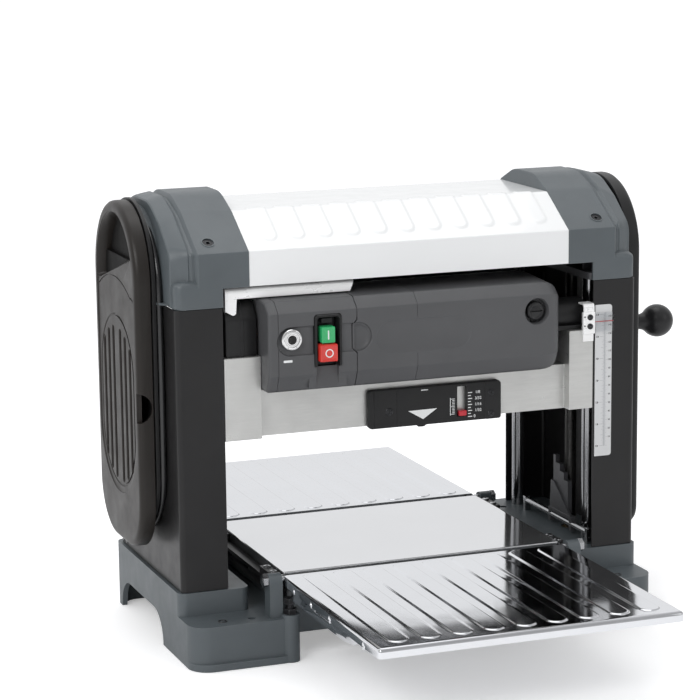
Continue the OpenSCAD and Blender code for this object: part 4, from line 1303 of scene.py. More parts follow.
def start_key():
    key = [(-119, 345.6, 1.6), (-119, 363.6, 1.6), (-103, 363.6, 1.6), (-103, 345.6, 1.6)]
    piece = shell("y", key, ((-109.6, 0.6), (-110.0, 0.0), (-120.6, 0.1), (-121.6, 0.5),
                             (-121.75, 1.5), (-121.4, 2.6)))
    dress(piece, "start_key_cap", "start_key", "button_green", replaces="start_button")
    bar = fillet([(-111.7, 349.6, 0.5), (-111.7, 359.6, 0.5), (-110.3, 359.6, 0.5),
                  (-110.3, 349.6, 0.5)], 3)
    dress(prism("y", bar, -121.75, -121.2), "start_key_mark", "start_key", "scale_white",
          smooth=35, mat="mark_white")


def stop_key():
    key = [(-121.6, 325.4, 1.8), (-121.6, 344.8, 1.8), (-101, 344.8, 1.8), (-101, 325.4, 1.8)]
    piece = shell("y", key, ((-109.6, 0.6), (-110.0, 0.0), (-122.8, 0.1), (-124.1, 0.6),
                             (-124.4, 1.7), (-124.0, 3.0)))
    dress(piece, "stop_key_cap", "stop_key", "button_red", replaces="stop_button")
    # printed ring; its square section holds (radius, Y)
    section = [(4.7, -124.3), (4.7, -123.7), (3.5, -123.7), (3.5, -124.3)]
    steps = 40
    verts, faces = [], []
    for i in range(steps):
        angle = 2 * pi * i / steps
        following = (i + 1) % steps
        for radius, y in section:
            verts.append((-111.0 + radius * cos(angle), y, 335.0 + radius * sin(angle)))
        for k in range(4):
            faces.append((i * 4 + k, i * 4 + (k + 1) % 4, following * 4 + (k + 1) % 4,
                          following * 4 + k))
    dress(solid(verts, faces), "stop_key_mark", "stop_key", "scale_white", smooth=35,
          mat="mark_white")


def reset_button():
    """White dash, bright ring nut and dark push button; profiles hold (Y, radius)."""
    dash = fillet([(-161, 326.9, 0.7), (-161, 329.5, 0.7), (-151, 329.5, 0.7),
                   (-151, 326.9, 0.7)], 4)
    dress(prism("y", dash, -117.12, -116.6), "reset_dash", "head", "scale_white", smooth=35,
          mat="mark_white")
    nut = lathe_tube("y", RESET, [
        (-108.5, 3.95), (-108.5, 5.9), (-116.6, 5.9), (-116.6, 11.0), (-117.3, 11.5),
        (-119.6, 11.5), (-120.5, 10.9), (-120.9, 9.9), (-120.9, 8.4), (-120.2, 7.8),
        (-120.2, 6.6), (-120.9, 6.0), (-120.9, 5.0), (-120.2, 4.1), (-118.0, 3.95)], 60)
    # six small pits around the nut
    for k in range(6):
        angle = pi * k / 3
        pit = (RESET[0] + 9.3 * cos(angle), RESET[1] + 9.3 * sin(angle))
        cut(nut, cyl("y", -122, -119.9, pit, 0.75, 12))
    dress(nut, "reset_ring_nut", "head", "bright_ring", smooth=28, replaces="reset_ring")
    button = lathe("y", RESET, [(-109.6, 0), (-109.6, 3.5), (-110.2, 3.8), (-121.6, 3.8),
                                (-122.5, 3.4), (-122.9, 2.4), (-122.6, 0)], 36)
    dress(button, "reset_key_cap", "reset_key", "black_plastic", smooth=28,
          replaces="reset_button")


# ------------------------------------------------------------------ motor brushes
def brush_cap(center, start, profile, slot, bar):
    """Slotted screw cap and the bar behind it; slot and bar are boxes (low, high)."""
    cap = lathe("y", center, profile, 48, start=start)
    return [cut(cap, block(*slot)), bevelled(block(*bar), 0.5)]


def motor_brushes():
    front = brush_cap(FRONT_BRUSH, -108.4, [
        (0.0, 0), (0.0, 10.6), (-3.4, 10.6), (-4.4, 10.1), (-5.2, 9.2), (-5.5, 7.8),
        (-5.0, 6.4), (-5.6, 3.6), (-5.9, 0)],
        slot=((130.5, -116.4, 360.6), (145.5, -111.4, 362.4)),
        bar=((134.6, -107.2, 347.2), (141.4, -79.4, 354.8)))
    rear = brush_cap(REAR_BRUSH, -26.4, [
        (0.0, 0), (0.0, 7.9), (4.9, 7.9), (5.9, 7.3), (6.3, 6.1), (5.2, 5.1), (5.2, 0)],
        slot=((132.8, -22.4, 340.1), (143.2, -18.4, 341.9)),
        bar=((134.6, -44.6, 345.2), (141.4, -27.4, 352.8)))
    dress(join(front + rear), "motor_brush_caps", "head", "black_plastic",
          replaces="motor_brushes", mat="knob_black")


# ------------------------------------------------------------------ printed marks
def glyphs(items, size, y, thick):
    """Small centred text facing the front; items are (text, X, Z)."""
    labels = []
    for text, x, z in items:
        curve = bpy.data.curves.new("label", "FONT")
        curve.body = text
        curve.size = size * MM
        curve.align_x = "CENTER"
        curve.align_y = "CENTER"
        curve.resolution_u = 3
        curve.extrude = thick * MM / 2
        curve.offset = 0.00004
        source = link(bpy.data.objects.new("label", curve))
        bpy.context.view_layer.update()
        graph = bpy.context.evaluated_depsgraph_get()
        mesh = bpy.data.meshes.new_from_object(source.evaluated_get(graph))
        bpy.data.objects.remove(source)
        mesh.transform(Matrix.Translation(Vector((x, y, z)) * MM)
                       @ Matrix.Rotation(radians(90), 4, "X"))
        labels.append(link(bpy.data.objects.new("label", mesh)))
    return join(labels)


def bars(items, y, thick):
    """Thin printed bars facing the front; items are (x0, z0, x1, z1)."""
    verts, faces = [], []
    for x0, z0, x1, z1 in items:
        first = len(verts)
        verts += box_corners((x0, y - thick / 2, z0), (x1, y + thick / 2, z1))
        faces += [tuple(first + i for i in face) for face in BOX_FACES]
    return solid(verts, faces)


def cross_slot(head, x, z, reach, half, lying, upright):
    """Cuts a cross into a screw head; lying and upright are the (start, end) Y of its bars."""
    return cut(head, block((x - reach, lying[0], z - half), (x + reach, lying[1], z + half)),
               block((x - half, upright[0], z - reach), (x + half, upright[1], z + reach)))


# ------------------------------------------------------------------ cut gauge
def gauge_body():
    plate = [(-52, 237, 5.5), (-52, 281, 4.5), (108, 281, 4.5), (108, 237, 3.0)]
    end = [(88.6, 237.2, 2.0), (88.6, 280.8, 2.0), (107.9, 280.8, 4.4), (107.9, 237.2, 2.9)]
    piece = shell("y", plate, ((-78, 0.2), (-83.6, 0.0), (-84.5, 0.4), (-84.95, 1.2),
                               (GAUGE_Y, 1.8)))
    # cursor slot with a bevelled left side: Y, growth left, up and down, right
    slot = ((-74, 0, 0, 0), (-82.2, 0, 0, 0), (-85.6, 2.6, 0.3, 0.4))
    cut(piece, stack("y", [(y, round_rect(56 - left, 243 - tall, 66.5 + right, 277 + tall,
                                          1.0, 4)) for y, left, tall, right in slot]))
    # channels behind
    cut(piece, block((6, -82, 230), (21, -77, 264)), block((20, -82, 246), (66, -77, 254)))
    # two upright grooves left of the triangle
    cut(piece, block((-18.6, -90, 230), (-17.6, -84.5, 290)))
    cut(piece, prism("y", [(-46.2, 288), (-44.6, 288), (-44.6, 230), (-46.2, 230)],
                     -90, -84.6))
    # raised end piece on the right
    add(piece, shell("y", end, ((-82, 0.2), (-85.4, 0.0), (-85.9, 0.6), (-86.0, 1.3))))
    clean(piece)
    bevel(piece, 0.25, 40)
    dress(piece, "gauge_body", "head", "black_plastic", smooth=32, replaces="gauge_plate")


def gauge_screws():
    heads = []
    # X, Z, face Y, radius
    for x, z, y, radius in ((-27, 255.4, GAUGE_Y, 4.6), (95.5, 267.6, -86.0, 4.0),
                            (95.5, 243.6, -86.0, 4.0)):
        head = lathe("y", (x, z), [(3.0, 0), (3.0, radius), (0.1, radius),
                                   (-0.5, radius * 0.86), (-0.8, radius * 0.5), (-0.85, 0)],
                     36, start=y)
        depth = (y - 2, y + 0.2)
        heads.append(cross_slot(head, x, z, radius * 0.62, 0.55, depth, depth))
    dress(join(heads), "gauge_screws", "head", "black_plastic", replaces="gauge_plate",
          mat="black_screw")


def gauge_marks():
    """Triangle, dash at the top, comb scale, ticks right of the slot, and fractions."""
    triangle = prism("y", [(-4.5, 254.4), (30.3, 254.8), (13.4, 243.8)], -85.12, -84.8)
    items = [(11.2, 276.2, 19.5, 277.3)]
    for i in range(11):
        z = 246.0 + i * 1.72
        items.append((51.6 - (4.4 if i % 5 == 0 else 3.0), z, 51.6, z + 0.62))
    items.append((46.0, 245.0, 46.7, 265.0))
    for i in range(9):
        z = 241.4 + i * 3.42
        items.append((67.8, z, 67.8 + (5.0 if i % 2 == 0 else 3.4), z + 0.95))
    marks = join([triangle, bars(items, GAUGE_Y, 0.24)])
    dress(marks, "gauge_marks", "head", "black_plastic", smooth=20, replaces="gauge_plate",
          mat="mark_white")
    numerals = glyphs([("0", 75.8, 241.9), ("1/32", 80.2, 248.6), ("1/16", 80.2, 255.4),
                       ("3/32", 80.2, 262.3), ("1/8", 79.6, 269.2)], size=4.6, y=GAUGE_Y,
                      thick=0.24)
    dress(numerals, "gauge_numerals", "head", "black_plastic", smooth=20,
          replaces="gauge_plate", mat="mark_white")


def gauge_foot():
    """Flattened foot tip under the plate on its slider."""
    tip = lathe("z", (13.2, -80.2), [(234.4, 0), (234.5, 3.6), (235.3, 5.0), (236.6, 5.4),
                                     (238.6, 5.4), (238.6, 0)], 36)
    middle, flatten = -80.0 * MM, 0.36
    for vert in tip.data.vertices:
        vert.co.y = middle + (vert.co.y - middle) * flatten
    slider = bevelled(block((7.6, -81.4, 236), (19.4, -78.7, 257.6)), 0.5)
    dress(join([tip, slider]), "gauge_foot_slider", "cut_gauge_foot", "black_plastic",
          replaces="gauge_foot")


def gauge_cursor():
    cursor = [(56.6, 243.5, 0.9), (56.6, 249.5, 0.9), (65.9, 249.5, 0.9), (65.9, 243.5, 0.9)]
    piece = shell("y", cursor, ((-78.4, 0.3), (-85.6, 0.0), (-86.2, 0.4), (-86.4, 1.1)))
    dress(piece, "gauge_pointer_cursor", "cut_gauge_pointer", "pointer_red",
          replaces="gauge_pointer")


# ------------------------------------------------------------------ height scale
SCALE_ZERO = 195.0
INCH = 25.4


def scale_mark(piece, name, mat):
    dress(piece, name, "frame", "scale_white", smooth=20, replaces="height_scale", mat=mat)


def height_scale():
    """Plate with inches on the left, millimetres on the right and arrows at whole inches."""
    plate = [(222, 183, 0.8), (222, 358.6, 0.8), (243, 358.6, 3.4), (243, 183, 3.2)]
    piece = shell("y", plate, ((-90.62, 0.3), (-90.8, 0.0), (-91.45, 0.0), (-91.7, 0.35),
                               (-91.75, 0.9)))
    dress(piece, "height_scale_plate", "frame", "scale_white", replaces="height_scale")
    ticks = []
    for i in range(97):
        z = SCALE_ZERO + i * INCH / 16
        width = next(w for step, w in ((16, 5.6), (8, 4.0), (4, 2.9), (2, 2.1), (1, 1.5))
                     if i % step == 0)
        ticks.append((233.4 - width, z - 0.16, 233.4, z + 0.16))
    for i in range(155):
        z = SCALE_ZERO + i
        width = next(w for step, w in ((10, 3.6), (5, 2.6), (1, 1.6)) if i % step == 0)
        ticks.append((233.9, z - 0.12, 233.9 + width, z + 0.12))
    ticks.append((233.45, SCALE_ZERO - 0.2, 233.85, SCALE_ZERO + 154))
    scale_mark(bars(ticks, SCALE_Y, 0.12), "height_scale_ticks", "mark_grey")
    inches = [SCALE_ZERO + i * INCH for i in range(7)]
    arrows = [prism("y", [(226.6, z), (224.9, z + 1.5), (224.9, z - 1.5)], SCALE_Y - 0.06,
                    SCALE_Y + 0.06) for z in inches]
    scale_mark(join(arrows), "height_scale_arrows", "mark_black")
    labels = [(str(i), 223.6, z) for i, z in enumerate(inches)]
    labels += [(str(i * 10), 239.9, SCALE_ZERO + i * 10) for i in range(1, 16)]
    scale_mark(glyphs(labels, size=2.9, y=SCALE_Y, thick=0.12), "height_scale_numerals",
               "mark_black")


def scale_clamp():
    """Clamp with a folded tongue and a leg, its screws, and a clear window with a red line."""
    plate = [(205.4, 326.6, 1.0), (205.4, 351.6, 1.0), (220.6, 351.6, 1.0),
             (220.6, 326.6, 1.0)]
    clamp = shell("y", plate, ((-91.1, 0.0), (-94.0, 0.0), (-94.5, 0.4)))
    tongue = [(-94.4, 349), (-94.4, 357), (-93.9, 359.4), (-92.6, 360.8), (-90.6, 361.3),
              (-80, 361.5), (-80, 359.9), (-90.4, 359.7), (-92.1, 359.0), (-92.8, 357.4),
              (-92.8, 349)]
    add(clamp, prism("x", tongue, 206.2, 219.4))
    add(clamp, block((206.4, -92.6, 318), (219.2, -91.1, 330)))
    screws = [(214.0, 345.7), (214.0, 335.3)]
    pins = [(207.6, 346.2), (207.6, 335.9)]
    for center in screws:
        cut(clamp, cyl("y", -96, -90, center, 2.1, 24))
    for center in pins:
        cut(clamp, cyl("y", -96, -90, center, 1.0, 24))
    clean(clamp)
    bevel(clamp, 0.2, 40)
    dress(clamp, "scale_clamp", "head", "bright_ring", smooth=32, replaces="scale_pointer",
          mat="bridge_silver")
    heads = []
    for center in screws:
        head = lathe("y", center, [(-91.4, 0), (-91.4, 2.0), (-94.5, 2.0), (-94.5, 3.4),
                                   (-95.6, 3.3), (-96.2, 2.4), (-96.35, 0)], 30)
        z = center[1]
        heads.append(cut(head, block((212, -97, z - 0.35), (216, -95.7, z + 0.35))))
    for center in pins:
        heads.append(lathe("y", center, [(-91.3, 0), (-91.3, 0.95), (-94.6, 0.95),
                                         (-94.8, 0.7), (-94.8, 0)], 20))
    dress(join(heads), "scale_clamp_screws", "head", "black_screw", replaces="scale_pointer")
    pane = [(219.8, 328.4, 0.6), (219.8, 350.0, 0.6), (244.4, 350.0, 1.6), (244.4, 328.4, 1.6)]
    window = shell("y", pane, ((-92.6, 0.2), (-92.7, 0.0), (-94.0, 0.0), (-94.2, 0.3)))
    dress(window, "scale_window", "head", "bright_ring", replaces="scale_pointer",
          mat="window_clear")
    line = bars([(220.4, 339.3, 244.0, 340.1)], -92.45, 0.1)
    dress(line, "scale_window_line", "head", "bright_ring", smooth=20,
          replaces="scale_pointer", mat="mark_red")


# ------------------------------------------------------------------ crank
def crank_knob():
    """Ball grip with a flared neck; the profile holds (X, radius)."""
    ball_x, ball_r = 353.0, 19.4
    neck_x, neck_r = 334.0, 10.1
    meet, tip = radians(138), radians(13.5)
    meet_x, meet_r = ball_x + ball_r * cos(meet), ball_r * sin(meet)
    profile = [(317.6, 4.3), (317.6, 7.6), (318.3, 8.5), (319.6, 8.8), (326.0, 8.7),
               (330.5, 9.0), (neck_x, neck_r)]
    for i in range(1, 5):
        part = i / 5.0
        profile.append((neck_x + (meet_x - neck_x) * part,
                        neck_r + (meet_r - neck_r) * part ** 1.15))
    for i in range(23):
        angle = meet * (1 - i / 22.0) + tip * (i / 22.0)
        profile.append((ball_x + ball_r * cos(angle), ball_r * sin(angle)))
    profile += [(ball_x + ball_r - 1.2, 4.2), (357.5, 4.2)]
    dress(lathe_tube("x", KNOB_AXIS, profile, 72), "crank_knob_grip", "crank_grip",
          "knob_black", smooth=40, replaces="crank_knob")


def hull_outline(upper, upper_r, lower, lower_r, steps=20):
    """Outline around two circles, upper one first."""
    distance = hypot(lower[0] - upper[0], lower[1] - upper[1])
    heading = atan2(lower[1] - upper[1], lower[0] - upper[0])
    spread = acos((upper_r - lower_r) / distance)
    points = []
    for i in range(steps + 1):
        angle = heading + spread + (2 * pi - 2 * spread) * i / steps
        points.append((upper[0] + upper_r * cos(angle), upper[1] + upper_r * sin(angle)))
    for i in range(steps + 1):
        angle = heading - spread + (2 * spread) * i / steps
        points.append((lower[0] + lower_r * cos(angle), lower[1] + lower_r * sin(angle)))
    return points


def forged_arm():
    """Tapered arm with a long hollow in its outer face, and its hub."""
    hub = lathe("x", CRANK_AXIS, [(304.6, 0), (304.6, 8.0), (305.6, 10.4), (306.2, 11.4),
                                  (308.4, 11.4), (308.4, 0)], 48)
    # X, inward offset
    stations = ((308.0, 1.4), (308.8, 0.4), (309.6, 0.0), (315.0, 0.0), (316.2, 0.4),
                (316.9, 1.5))
    arm = stack("x", [(x, hull_outline(CRANK_AXIS, 12.6 - inward, (9.5, 315.0), 9.6 - inward))
                      for x, inward in stations])
    hollow = hull_outline((8.2, 403.0), 5.2, (9.3, 335.0), 4.2, 12)
    # X, width factor; the length changes far less than the width
    flare = ((315.2, 0.72), (315.6, 0.86), (317.4, 1.12))
    cut(arm, stack("x", [(x, [(8.9 + (y - 8.9) * wide, 369 + (z - 369) * (1 - (1 - wide) * 0.12))
                              for y, z in hollow]) for x, wide in flare]))
    return join([arm, hub])


def crank():
    base = cad_copy("crank_arm")
    cut(base, block((305.4, -20, 280), (330, 40, 445)))
    cut(base, block((300, -20, 280), (370, 40, 340)))
    dress(forged_arm(), "crank_arm_forged", "crank", "black_screw", smooth=32,
          replaces="crank_arm", mat="black_plastic")
    washer = lathe("x", CRANK_AXIS, [(315.6, 0), (315.6, 7.6), (317.4, 7.6), (317.4, 0)], 40)
    nut = bevelled(prism("x", circle(CRANK_AXIS, 6.4, 6), 317.0, 319.4), 0.5, 35)
    axle = lathe("x", KNOB_AXIS, [(316.0, 0), (316.0, 5.6), (317.2, 5.6), (317.2, 4.0),
                                  (356.2, 4.0), (357.0, 3.2), (357.0, 0)], 32)
    dress(join([base, axle, washer, nut]), "crank_shaft_gears", "crank", "ground_steel",
          smooth=32, replaces="crank_arm")


# ------------------------------------------------------------------ lead screws
def thread(x, y, start, end, radius, lead, hand, steps=18):
    """Helical ridge with its foot sunk into the core. hand is 1 for right-handed."""
    # share of the lead, radius
    section = ((0.34, radius - 1.0), (0.62, radius - 0.02), (0.92, radius - 0.02),
               (1.18, radius - 1.0))
    count = int((end - start - lead * 1.2) / lead * steps)
    rings = []
    for i in range(count + 1):
        angle = hand * 2 * pi * i / steps
        rings.append([(x + r * cos(angle), y + r * sin(angle), start + lead * (i / steps + part))
                      for part, r in section])
    return loft(rings)


def lead_screw(side, node_name, body):
    x, y = side * 240.0, 8.0
    base = cad_copy(node_name)
    cut(base, block((x - 20, y - 20, 81.6), (x + 20, y + 20, 383.4)))
    core = lathe("z", (x, y), [(81.0, 0), (81.0, 6.0), (82.0, 6.15), (383.0, 6.15),
                               (384.0, 6.0), (384.0, 0)], 24)
    ridge = thread(x, y, start=82.2, end=383.0, radius=7.0, lead=INCH / 16, hand=-side)
    dress(join([base, core, ridge]), node_name + "_threaded", body, "ground_steel", smooth=24,
          replaces=node_name, mat="oiled_steel")


# ------------------------------------------------------------------ mains cord and plug
CORD_X = -277.0
TAIL_Y = 113.2


def cord_tube(path, radius, steps=14):
    """Round bar along (Y, Z) points at the cord's X."""
    rings = []
    for i, (y, z) in enumerate(path):
        last, following = path[max(0, i - 1)], path[min(len(path) - 1, i + 1)]
        dy, dz = following[0] - last[0], following[1] - last[1]
        length = hypot(dy, dz)
        along_y, along_z = dy / length, dz / length
        points = []
        for k in range(steps):
            angle = 2 * pi * k / steps
            points.append((CORD_X + radius * cos(angle), y - along_z * radius * sin(angle),
                           z + along_y * radius * sin(angle)))
        rings.append(points)
    return loft(rings)


def cord_loop():
    """Closed loop: elliptic ends at top and bottom, the front run slightly bowed."""
    half, top, bottom = 85.0, 398, 202
    drop = top - bottom
    path = []
    for i in range(41):
        angle = pi * i / 40
        path.append((COVER_Y + half * cos(angle), top + 82 * sin(angle)))
    for part in (0.2, 0.4, 0.6, 0.8):
        path.append((COVER_Y - half - 1.5 * sin(pi * part), top - drop * part))
    for i in range(41):
        angle = pi + pi * i / 40
        path.append((COVER_Y + half * cos(angle), bottom + 78 * sin(angle)))
    for part in (0.2, 0.4, 0.6, 0.8):
        path.append((COVER_Y + half, bottom + drop * part))
    path.append(path[0])
    return cord_tube(path, 3.3)


def strain_relief():
    """Six ribs that widen towards the plug, flattened along X."""
    profile = [(141.4, 0)]
    z = 141.0
    for i in range(6):
        wider = i * 0.35
        profile += [(z, 4.0 + wider), (z - 1.4, 4.7 + wider), (z - 2.8, 4.7 + wider),
                    (z - 3.4, 3.9 + wider)]
        z -= 3.6
    profile += [(z, 5.4), (z, 0)]
    piece = lathe("z", (0, 0), [(height, radius * 0.86) for height, radius in profile], 24)
    for vert in piece.data.vertices:
        vert.co.x = vert.co.x * 0.72 + CORD_X * MM
        vert.co.y += TAIL_Y * MM
    return piece


def plug():
    """Moulded body and two flat pins."""
    outline = [(104, 98), (122, 98), (125, 101), (125.4, 114), (122, 121.5), (117.5, 125),
               (108.5, 125), (104, 121.5), (100.8, 114), (101, 101)]
    middle_y, middle_z = 113.0, 111.0
    # X, size factor
    stations = ((-281.4, 0.80), (-280.8, 0.92), (-279.6, 0.99), (-277.5, 1.0),
                (-274.8, 0.99), (-273.6, 0.92), (-273.0, 0.8))
    parts = [stack("x", [(x, [(middle_y + (y - middle_y) * size,
                               middle_z + (z - middle_z) * size) for y, z in outline])
                         for x, size in stations])]
    for y in (105.0, 119.0):
        parts.append(bevelled(block((-279, y, 84), (-277.4, y + 4.0, 99)), 0.5, 30))
    return parts


def power_cord():
    tail = cord_tube([(TAIL_Y, z) for z in (262, 240, 210, 180, 150, 138)], 3.4)
    dress(join([cord_loop(), tail, strain_relief()] + plug()), "power_cord_and_plug", "frame",
          "cord_rubber", smooth=40, replaces="power_cord", mat="cord_gloss")


# ------------------------------------------------------------------ dust hood
OUTLET = (110, 345)                   # (X, Z)


def pan_head(x, y, z, radius):
    """Cross-slotted pan head facing the rear."""
    head = lathe("y", (x, z), [(-0.6, 0), (-0.6, radius), (0.9, radius), (1.9, radius * 0.8),
                               (2.3, radius * 0.45), (2.35, 0)], 28, start=y)
    return cross_slot(head, x, z, radius * 0.6, 0.5, (y + 1.2, y + 4), (y + 1.25, y + 4))


def dust_hood():
    parts = [bevelled(cad_copy("dust_hood"), 1.2, 38)]
    # upright ribs on the rear face: Y, inward offset
    for x in (-146, -104, -62, -20, 22):
        parts.append(stack("y", [
            (y, round_rect(x - 4 + step, 300 + step, x + 4 - step, 386 - step,
                           4 - step * 0.9, 5))
            for y, step in ((115.4, 0.0), (116.6, 0.4), (117.8, 1.4), (118.2, 2.6))]))
    # lipped outlet and the bead near its mouth, (Y, radius)
    parts.append(lathe_tube("y", OUTLET, [
        (116.0, 49.0), (116.0, 52.4), (118.4, 52.4), (119.6, 50.2), (142.6, 50.2),
        (143.6, 51.6), (146.0, 51.6), (147.2, 50.6), (147.2, 47.6), (116.0, 47.2)], 96))
    parts.append(lathe_tube("y", OUTLET, [
        (131.0, 49.6), (131.0, 50.4), (132.0, 51.3), (134.0, 51.3), (135.0, 50.4),
        (135.0, 49.6)], 96))
    # flap right of the outlet
    parts.append(stack("y", [
        (y, round_rect(166 + step, 333 + step, 213.5 - step, 377 - step, 4 - step, 5))
        for y, step in ((108.0, 0.8), (108.8, 0.0), (114.6, 0.0), (115.4, 0.8))]))
    dress(join(parts), "dust_hood_moulding", "head", SLOTS["dust_hood"], smooth=32,
          replaces="dust_hood", mat="black_plastic")
    heads = [pan_head(x, 116.0, z, 4.2) for x, z in (
        (-168, 312), (-125, 304), (-83, 304), (-41, 304), (1, 304), (44, 312), (178, 304))]
    dress(join(heads), "dust_hood_screws", "head", SLOTS["dust_hood"], replaces="dust_hood",
          mat="black_screw")


# ------------------------------------------------------------------ posts, rails, webs, bushes
def guide_posts():
    profile = [(40, 0), (40, 6.8), (41.2, 8), (84, 8), (84.4, 7.4), (85.6, 7.4), (86, 8),
               (390.4, 8), (390.8, 7.3), (392.2, 7.3), (392.6, 8), (394, 8), (395, 7),
               (395, 2.2), (388, 2.2), (388, 0)]
    posts = [lathe("z", center, profile, 48)
             for center in ((238, -43), (-238, -43), (228, 130), (-228, 130))]
    dress(join(posts), "guide_posts_ground", "frame", SLOTS["guide_posts"],
          replaces="guide_posts", mat="guide_steel")


def bed_rails():
    base = bevelled(cad_copy("bed_rails"), 0.3, 38)
    dress(join([base]), "bed_rails_folded", "frame", SLOTS["bed_rails"], replaces="bed_rails")
    profile = [(89.0, 0), (89.0, 2.5), (92.0, 2.5), (92.0, 4.2), (93.2, 4.2), (93.9, 3.4),
               (94.2, 2.2), (94.2, 0)]
    screws = []
    for side_x in (-1, 1):
        for side_y in (-1, 1):
            for y in (80, 102):
                center = (side_x * 171.5, side_y * y)
                screw = lathe("z", center, profile, 24)
                screws.append(cut(screw, prism("z", circle(center, 1.7, 6), 92.6, 96)))
    dress(join(screws), "bed_rail_screws", "frame", SLOTS["bed_rails"], replaces="bed_rails",
          mat="ground_steel")


def cap_webs():
    """Floor plates at the outer foot of the end caps."""
    plan = [(270.0, -66), (271.2, -58), (284.4, -41.5), (284.4, 120), (271.2, 134),
            (270.0, 142)]
    for sign, node_name in ((-1, "left_end_cap"), (1, "right_end_cap")):
        web = bevelled(prism("z", [(sign * x, y) for x, y in plan], 387.5, 390.0), 0.4, 35)
        dress(web, node_name + "_web", "frame", SLOTS[node_name], replaces=node_name,
              mat="slate_casting")


def bench_bushes():
    """Bushes of the bench holes in the front feet."""
    profile = [(44.0, 3.3), (44.0, 5.4), (49.1, 5.4), (49.7, 5.0), (49.9, 4.2), (49.6, 3.6),
               (49.0, 3.3)]
    for sign, side in ((-1, "left"), (1, "right")):
        bush = lathe_tube("z", (sign * 237.4, -121.6), profile, 40)
        dress(bush, "base_bench_bush_" + side, "frame", SLOTS["base_casting"],
              mat="black_screw")


# ------------------------------------------------------------------ roller springs
ROLLER_Z = 253.0
SPRING_LOW, SPRING_HIGH = ROLLER_Z + 14.55, ROLLER_Z + 30.6


def coil(x, y, low, high, radius, wire, turns=6.0, steps=26, sides=8):
    """Compression spring with nearly flat end turns."""
    count = int(turns * steps)
    flat = 0.75 / turns
    rings = []
    for i in range(count + 1):
        part = i / count
        angle = 2 * pi * turns * part
        if part < flat:
            rise = 0.02 * part / flat
        elif part > 1 - flat:
            rise = 1 - 0.02 * (1 - part) / flat
        else:
            rise = 0.02 + 0.96 * (part - flat) / (1 - 2 * flat)
        center_z = low + wire + (high - low - 2 * wire) * rise
        points = []
        for k in range(sides):
            around = 2 * pi * k / sides
            reach = radius + wire * cos(around)
            points.append((x + reach * cos(angle), y + reach * sin(angle),
                           center_z + wire * sin(around)))
        rings.append(points)
    return loft(rings)


def roller_springs():
    for side, y in (("infeed", -38.0), ("outfeed", 62.0)):
        node_name = side + "_roller_springs"
        springs = join([coil(x, y, SPRING_LOW, SPRING_HIGH, radius=2.6, wire=0.62)
                        for x in (-181, 193)])
        dress(springs, node_name + "_coils", "head", SLOTS[node_name], smooth=50,
              replaces=node_name, mat="spring_steel")
        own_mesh(springs)


# ------------------------------------------------------------------ CAD pieces that stay visible
# Bevel widths in mm, 0.3 for the rest. Replaced pieces keep a width in case one is shown again.
CAD_BEVELS = {
    "head_casting": 1.2, "left_column": 0.8, "right_column": 0.8, "bed_plate": 0.5,
    "bed_casting": 0.8, "dust_hood": 1.0, "belt_cover": 1.0, "gear_cover": 1.0,
    "switch_bezel": 0.5, "gauge_plate": 0.8, "guide_posts": 0.5, "base_casting": 2.2,
    "crank_arm": 0.8, "start_button": 0.6, "stop_button": 0.6, "height_scale": 0.2,
    "table_pivot_bolts": 0.5, "table_level_bolts": 0.5, "depth_stop_block": 0.5,
    "scale_pointer": 0.2, "reset_ring": 0.4, "motor_brushes": 0.4}
CAD_MATERIALS = {"table_level_bolts": "black_screw"}


def dress_cad():
    for name, piece in NODES.items():
        if piece.hide_render:
            continue
        slot = SLOTS[name]
        piece.data.materials.clear()
        piece.data.materials.append(MATERIALS[CAD_MATERIALS.get(name, slot)])
        weld = piece.modifiers.new("weld", "WELD")
        weld.merge_threshold = 2e-6
        bevel(piece, CAD_BEVELS.get(name, 0.3), 38)
        normals = piece.modifiers.new("wn", "WEIGHTED_NORMAL")
        normals.weight = 60
        normals.keep_sharp = False


# ------------------------------------------------------------------ stage, in metres
def floor():
    """Round paper floor, lifted towards white for camera rays only."""
    steps, radius, middle_y, z = 96, 14.0, 1.0, -0.0004
    mesh = bpy.data.meshes.new("floor")
    mesh.from_pydata(ring("z", circle((0.0, middle_y), radius, steps), z), [],
                     [tuple(range(steps))])
    piece = link(bpy.data.objects.new("floor", mesh))
    paper = surface("floor_paper", color=(0.93, 0.93, 0.935), rough=0.75, mottle=0.01,
                    mottle_scale=2, grain=0.3, grain_scale=500, specular=0.15)
    tree = paper.node_tree
    shader = tree.nodes["Principled BSDF"]
    path = node(tree, "ShaderNodeLightPath")
    camera_glow = 0.34
    glow = calc(tree, "MULTIPLY", path.outputs["Is Camera Ray"], camera_glow)
    tree.links.new(glow, shader.inputs["Emission Strength"])
    shader.inputs["Emission Color"].default_value = (1, 1, 1, 1)
    piece.data.materials.append(paper)


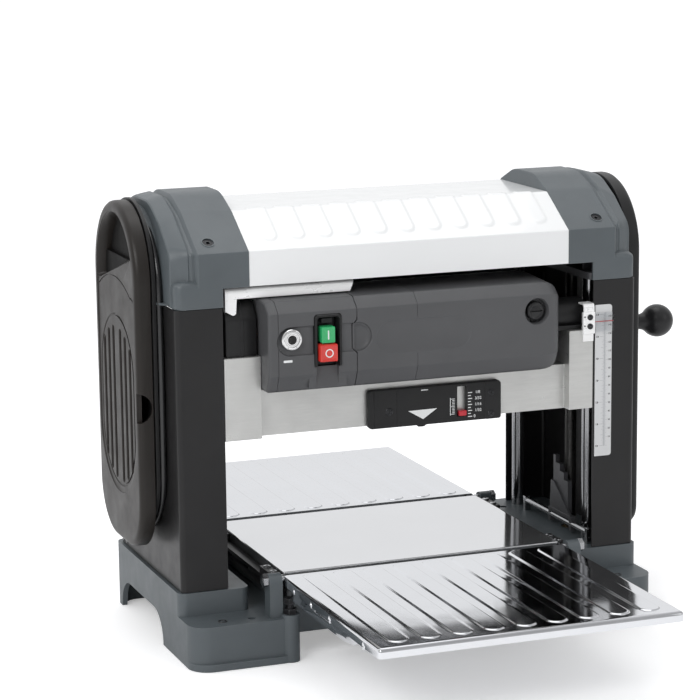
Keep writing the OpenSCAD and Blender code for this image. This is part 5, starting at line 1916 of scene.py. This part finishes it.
def studio_world():
    """Bright behind the machine, dimmer at the camera's side, brighter ceiling."""
    world = bpy.data.worlds.new("studio")
    scene.world = world
    world.use_nodes = True
    tree = world.node_tree
    background = tree.nodes["Background"]
    path = node(tree, "ShaderNodeLightPath")
    coords = node(tree, "ShaderNodeTexCoord")
    axes = node(tree, "ShaderNodeSeparateXYZ")
    tree.links.new(coords.outputs["Generated"], axes.inputs["Vector"])
    back = remap(tree, axes.outputs["Y"], low=0.44, high=0.86, start=-0.35, end=0.65,
                 interpolation="SMOOTHSTEP")
    roof = remap(tree, axes.outputs["Z"], low=0.0, high=0.34, start=0.25, end=0.95,
                 interpolation="SMOOTHSTEP")
    total = calc(tree, "ADD", back, roof)
    # camera rays see an even backdrop of strength 1
    mix = node(tree, "ShaderNodeMix")
    tree.links.new(path.outputs["Is Camera Ray"], mix.inputs["Factor"])
    tree.links.new(total, mix.inputs["A"])
    mix.inputs["B"].default_value = 1.0
    tree.links.new(mix.outputs["Result"], background.inputs["Strength"])
    background.inputs["Color"].default_value = (0.985, 0.99, 1.0, 1)


def area_light(name, place, target, width, height, power):
    light = bpy.data.lights.new(name, "AREA")
    light.shape = "RECTANGLE"
    light.size = width
    light.size_y = height
    light.energy = power
    lamp = link(bpy.data.objects.new(name, light))
    lamp.location = place
    lamp.rotation_mode = "QUATERNION"
    aim = Vector(target) - Vector(place)
    lamp.rotation_quaternion = aim.to_track_quat("-Z", "Y")


def lights():
    front = (0, -0.1, 0.25)
    area_light("key_left", place=(-2.4, -2.2, 2.3), target=front, width=1.6, height=1.2,
               power=42)
    area_light("fill_right", place=(2.3, -2.4, 1.6), target=front, width=1.2, height=1.6,
               power=6)
    area_light("top", place=(0.1, 0.3, 2.6), target=(0, 0, 0.3), width=1.8, height=1.4,
               power=10)


def camera():
    """Long lens from the front left, looking slightly down."""
    heading, pitch, roll = radians(-20.16), radians(11.18), radians(-0.73)
    forward = Vector((-sin(heading) * cos(pitch), cos(heading) * cos(pitch), -sin(pitch)))
    level = Vector((cos(heading), sin(heading), 0))
    upright = level.cross(forward)
    right = level * cos(roll) + upright * sin(roll)
    up = -level * sin(roll) + upright * cos(roll)
    data = bpy.data.cameras.new("camera")
    data.sensor_width = 36
    data.lens = 129.97
    data.shift_x = 0.03134
    data.shift_y = 0.02311
    data.clip_start = 0.05
    data.clip_end = 60
    placed = Matrix((right, up, -forward)).transposed().to_4x4()
    placed.translation = Vector((-1.03307, -2.63031, 0.84874))
    view = link(bpy.data.objects.new("camera", data))
    view.matrix_world = placed
    scene.camera = view
    scene.view_settings.view_transform = "Standard"
    scene.view_settings.look = "None"


# ------------------------------------------------------------------ build
painted_materials()
metal_materials()
plastic_materials()

end_caps()
left_cover_shell()
left_cover_floor()
right_cover()
top_cover()
table("infeed_table", "infeed_leaf", hinge_y=-126.0, rear=False)
table("outfeed_table", "outfeed_leaf", hinge_y=-131.0, rear=True)
bed()
belt_cover()
belt_bridge()
motor_housing()
switch_bezel()
start_key()
stop_key()
reset_button()
motor_brushes()
gauge_body()
gauge_screws()
gauge_marks()
gauge_foot()
gauge_cursor()
height_scale()
scale_clamp()
crank_knob()
crank()
lead_screw(-1, "lead_screw_left", "left_screw")
lead_screw(1, "lead_screw_right", "right_screw")
power_cord()
dust_hood()
guide_posts()
bed_rails()
cap_webs()
bench_bushes()
roller_springs()
dress_cad()

floor()
studio_world()
lights()
camera()
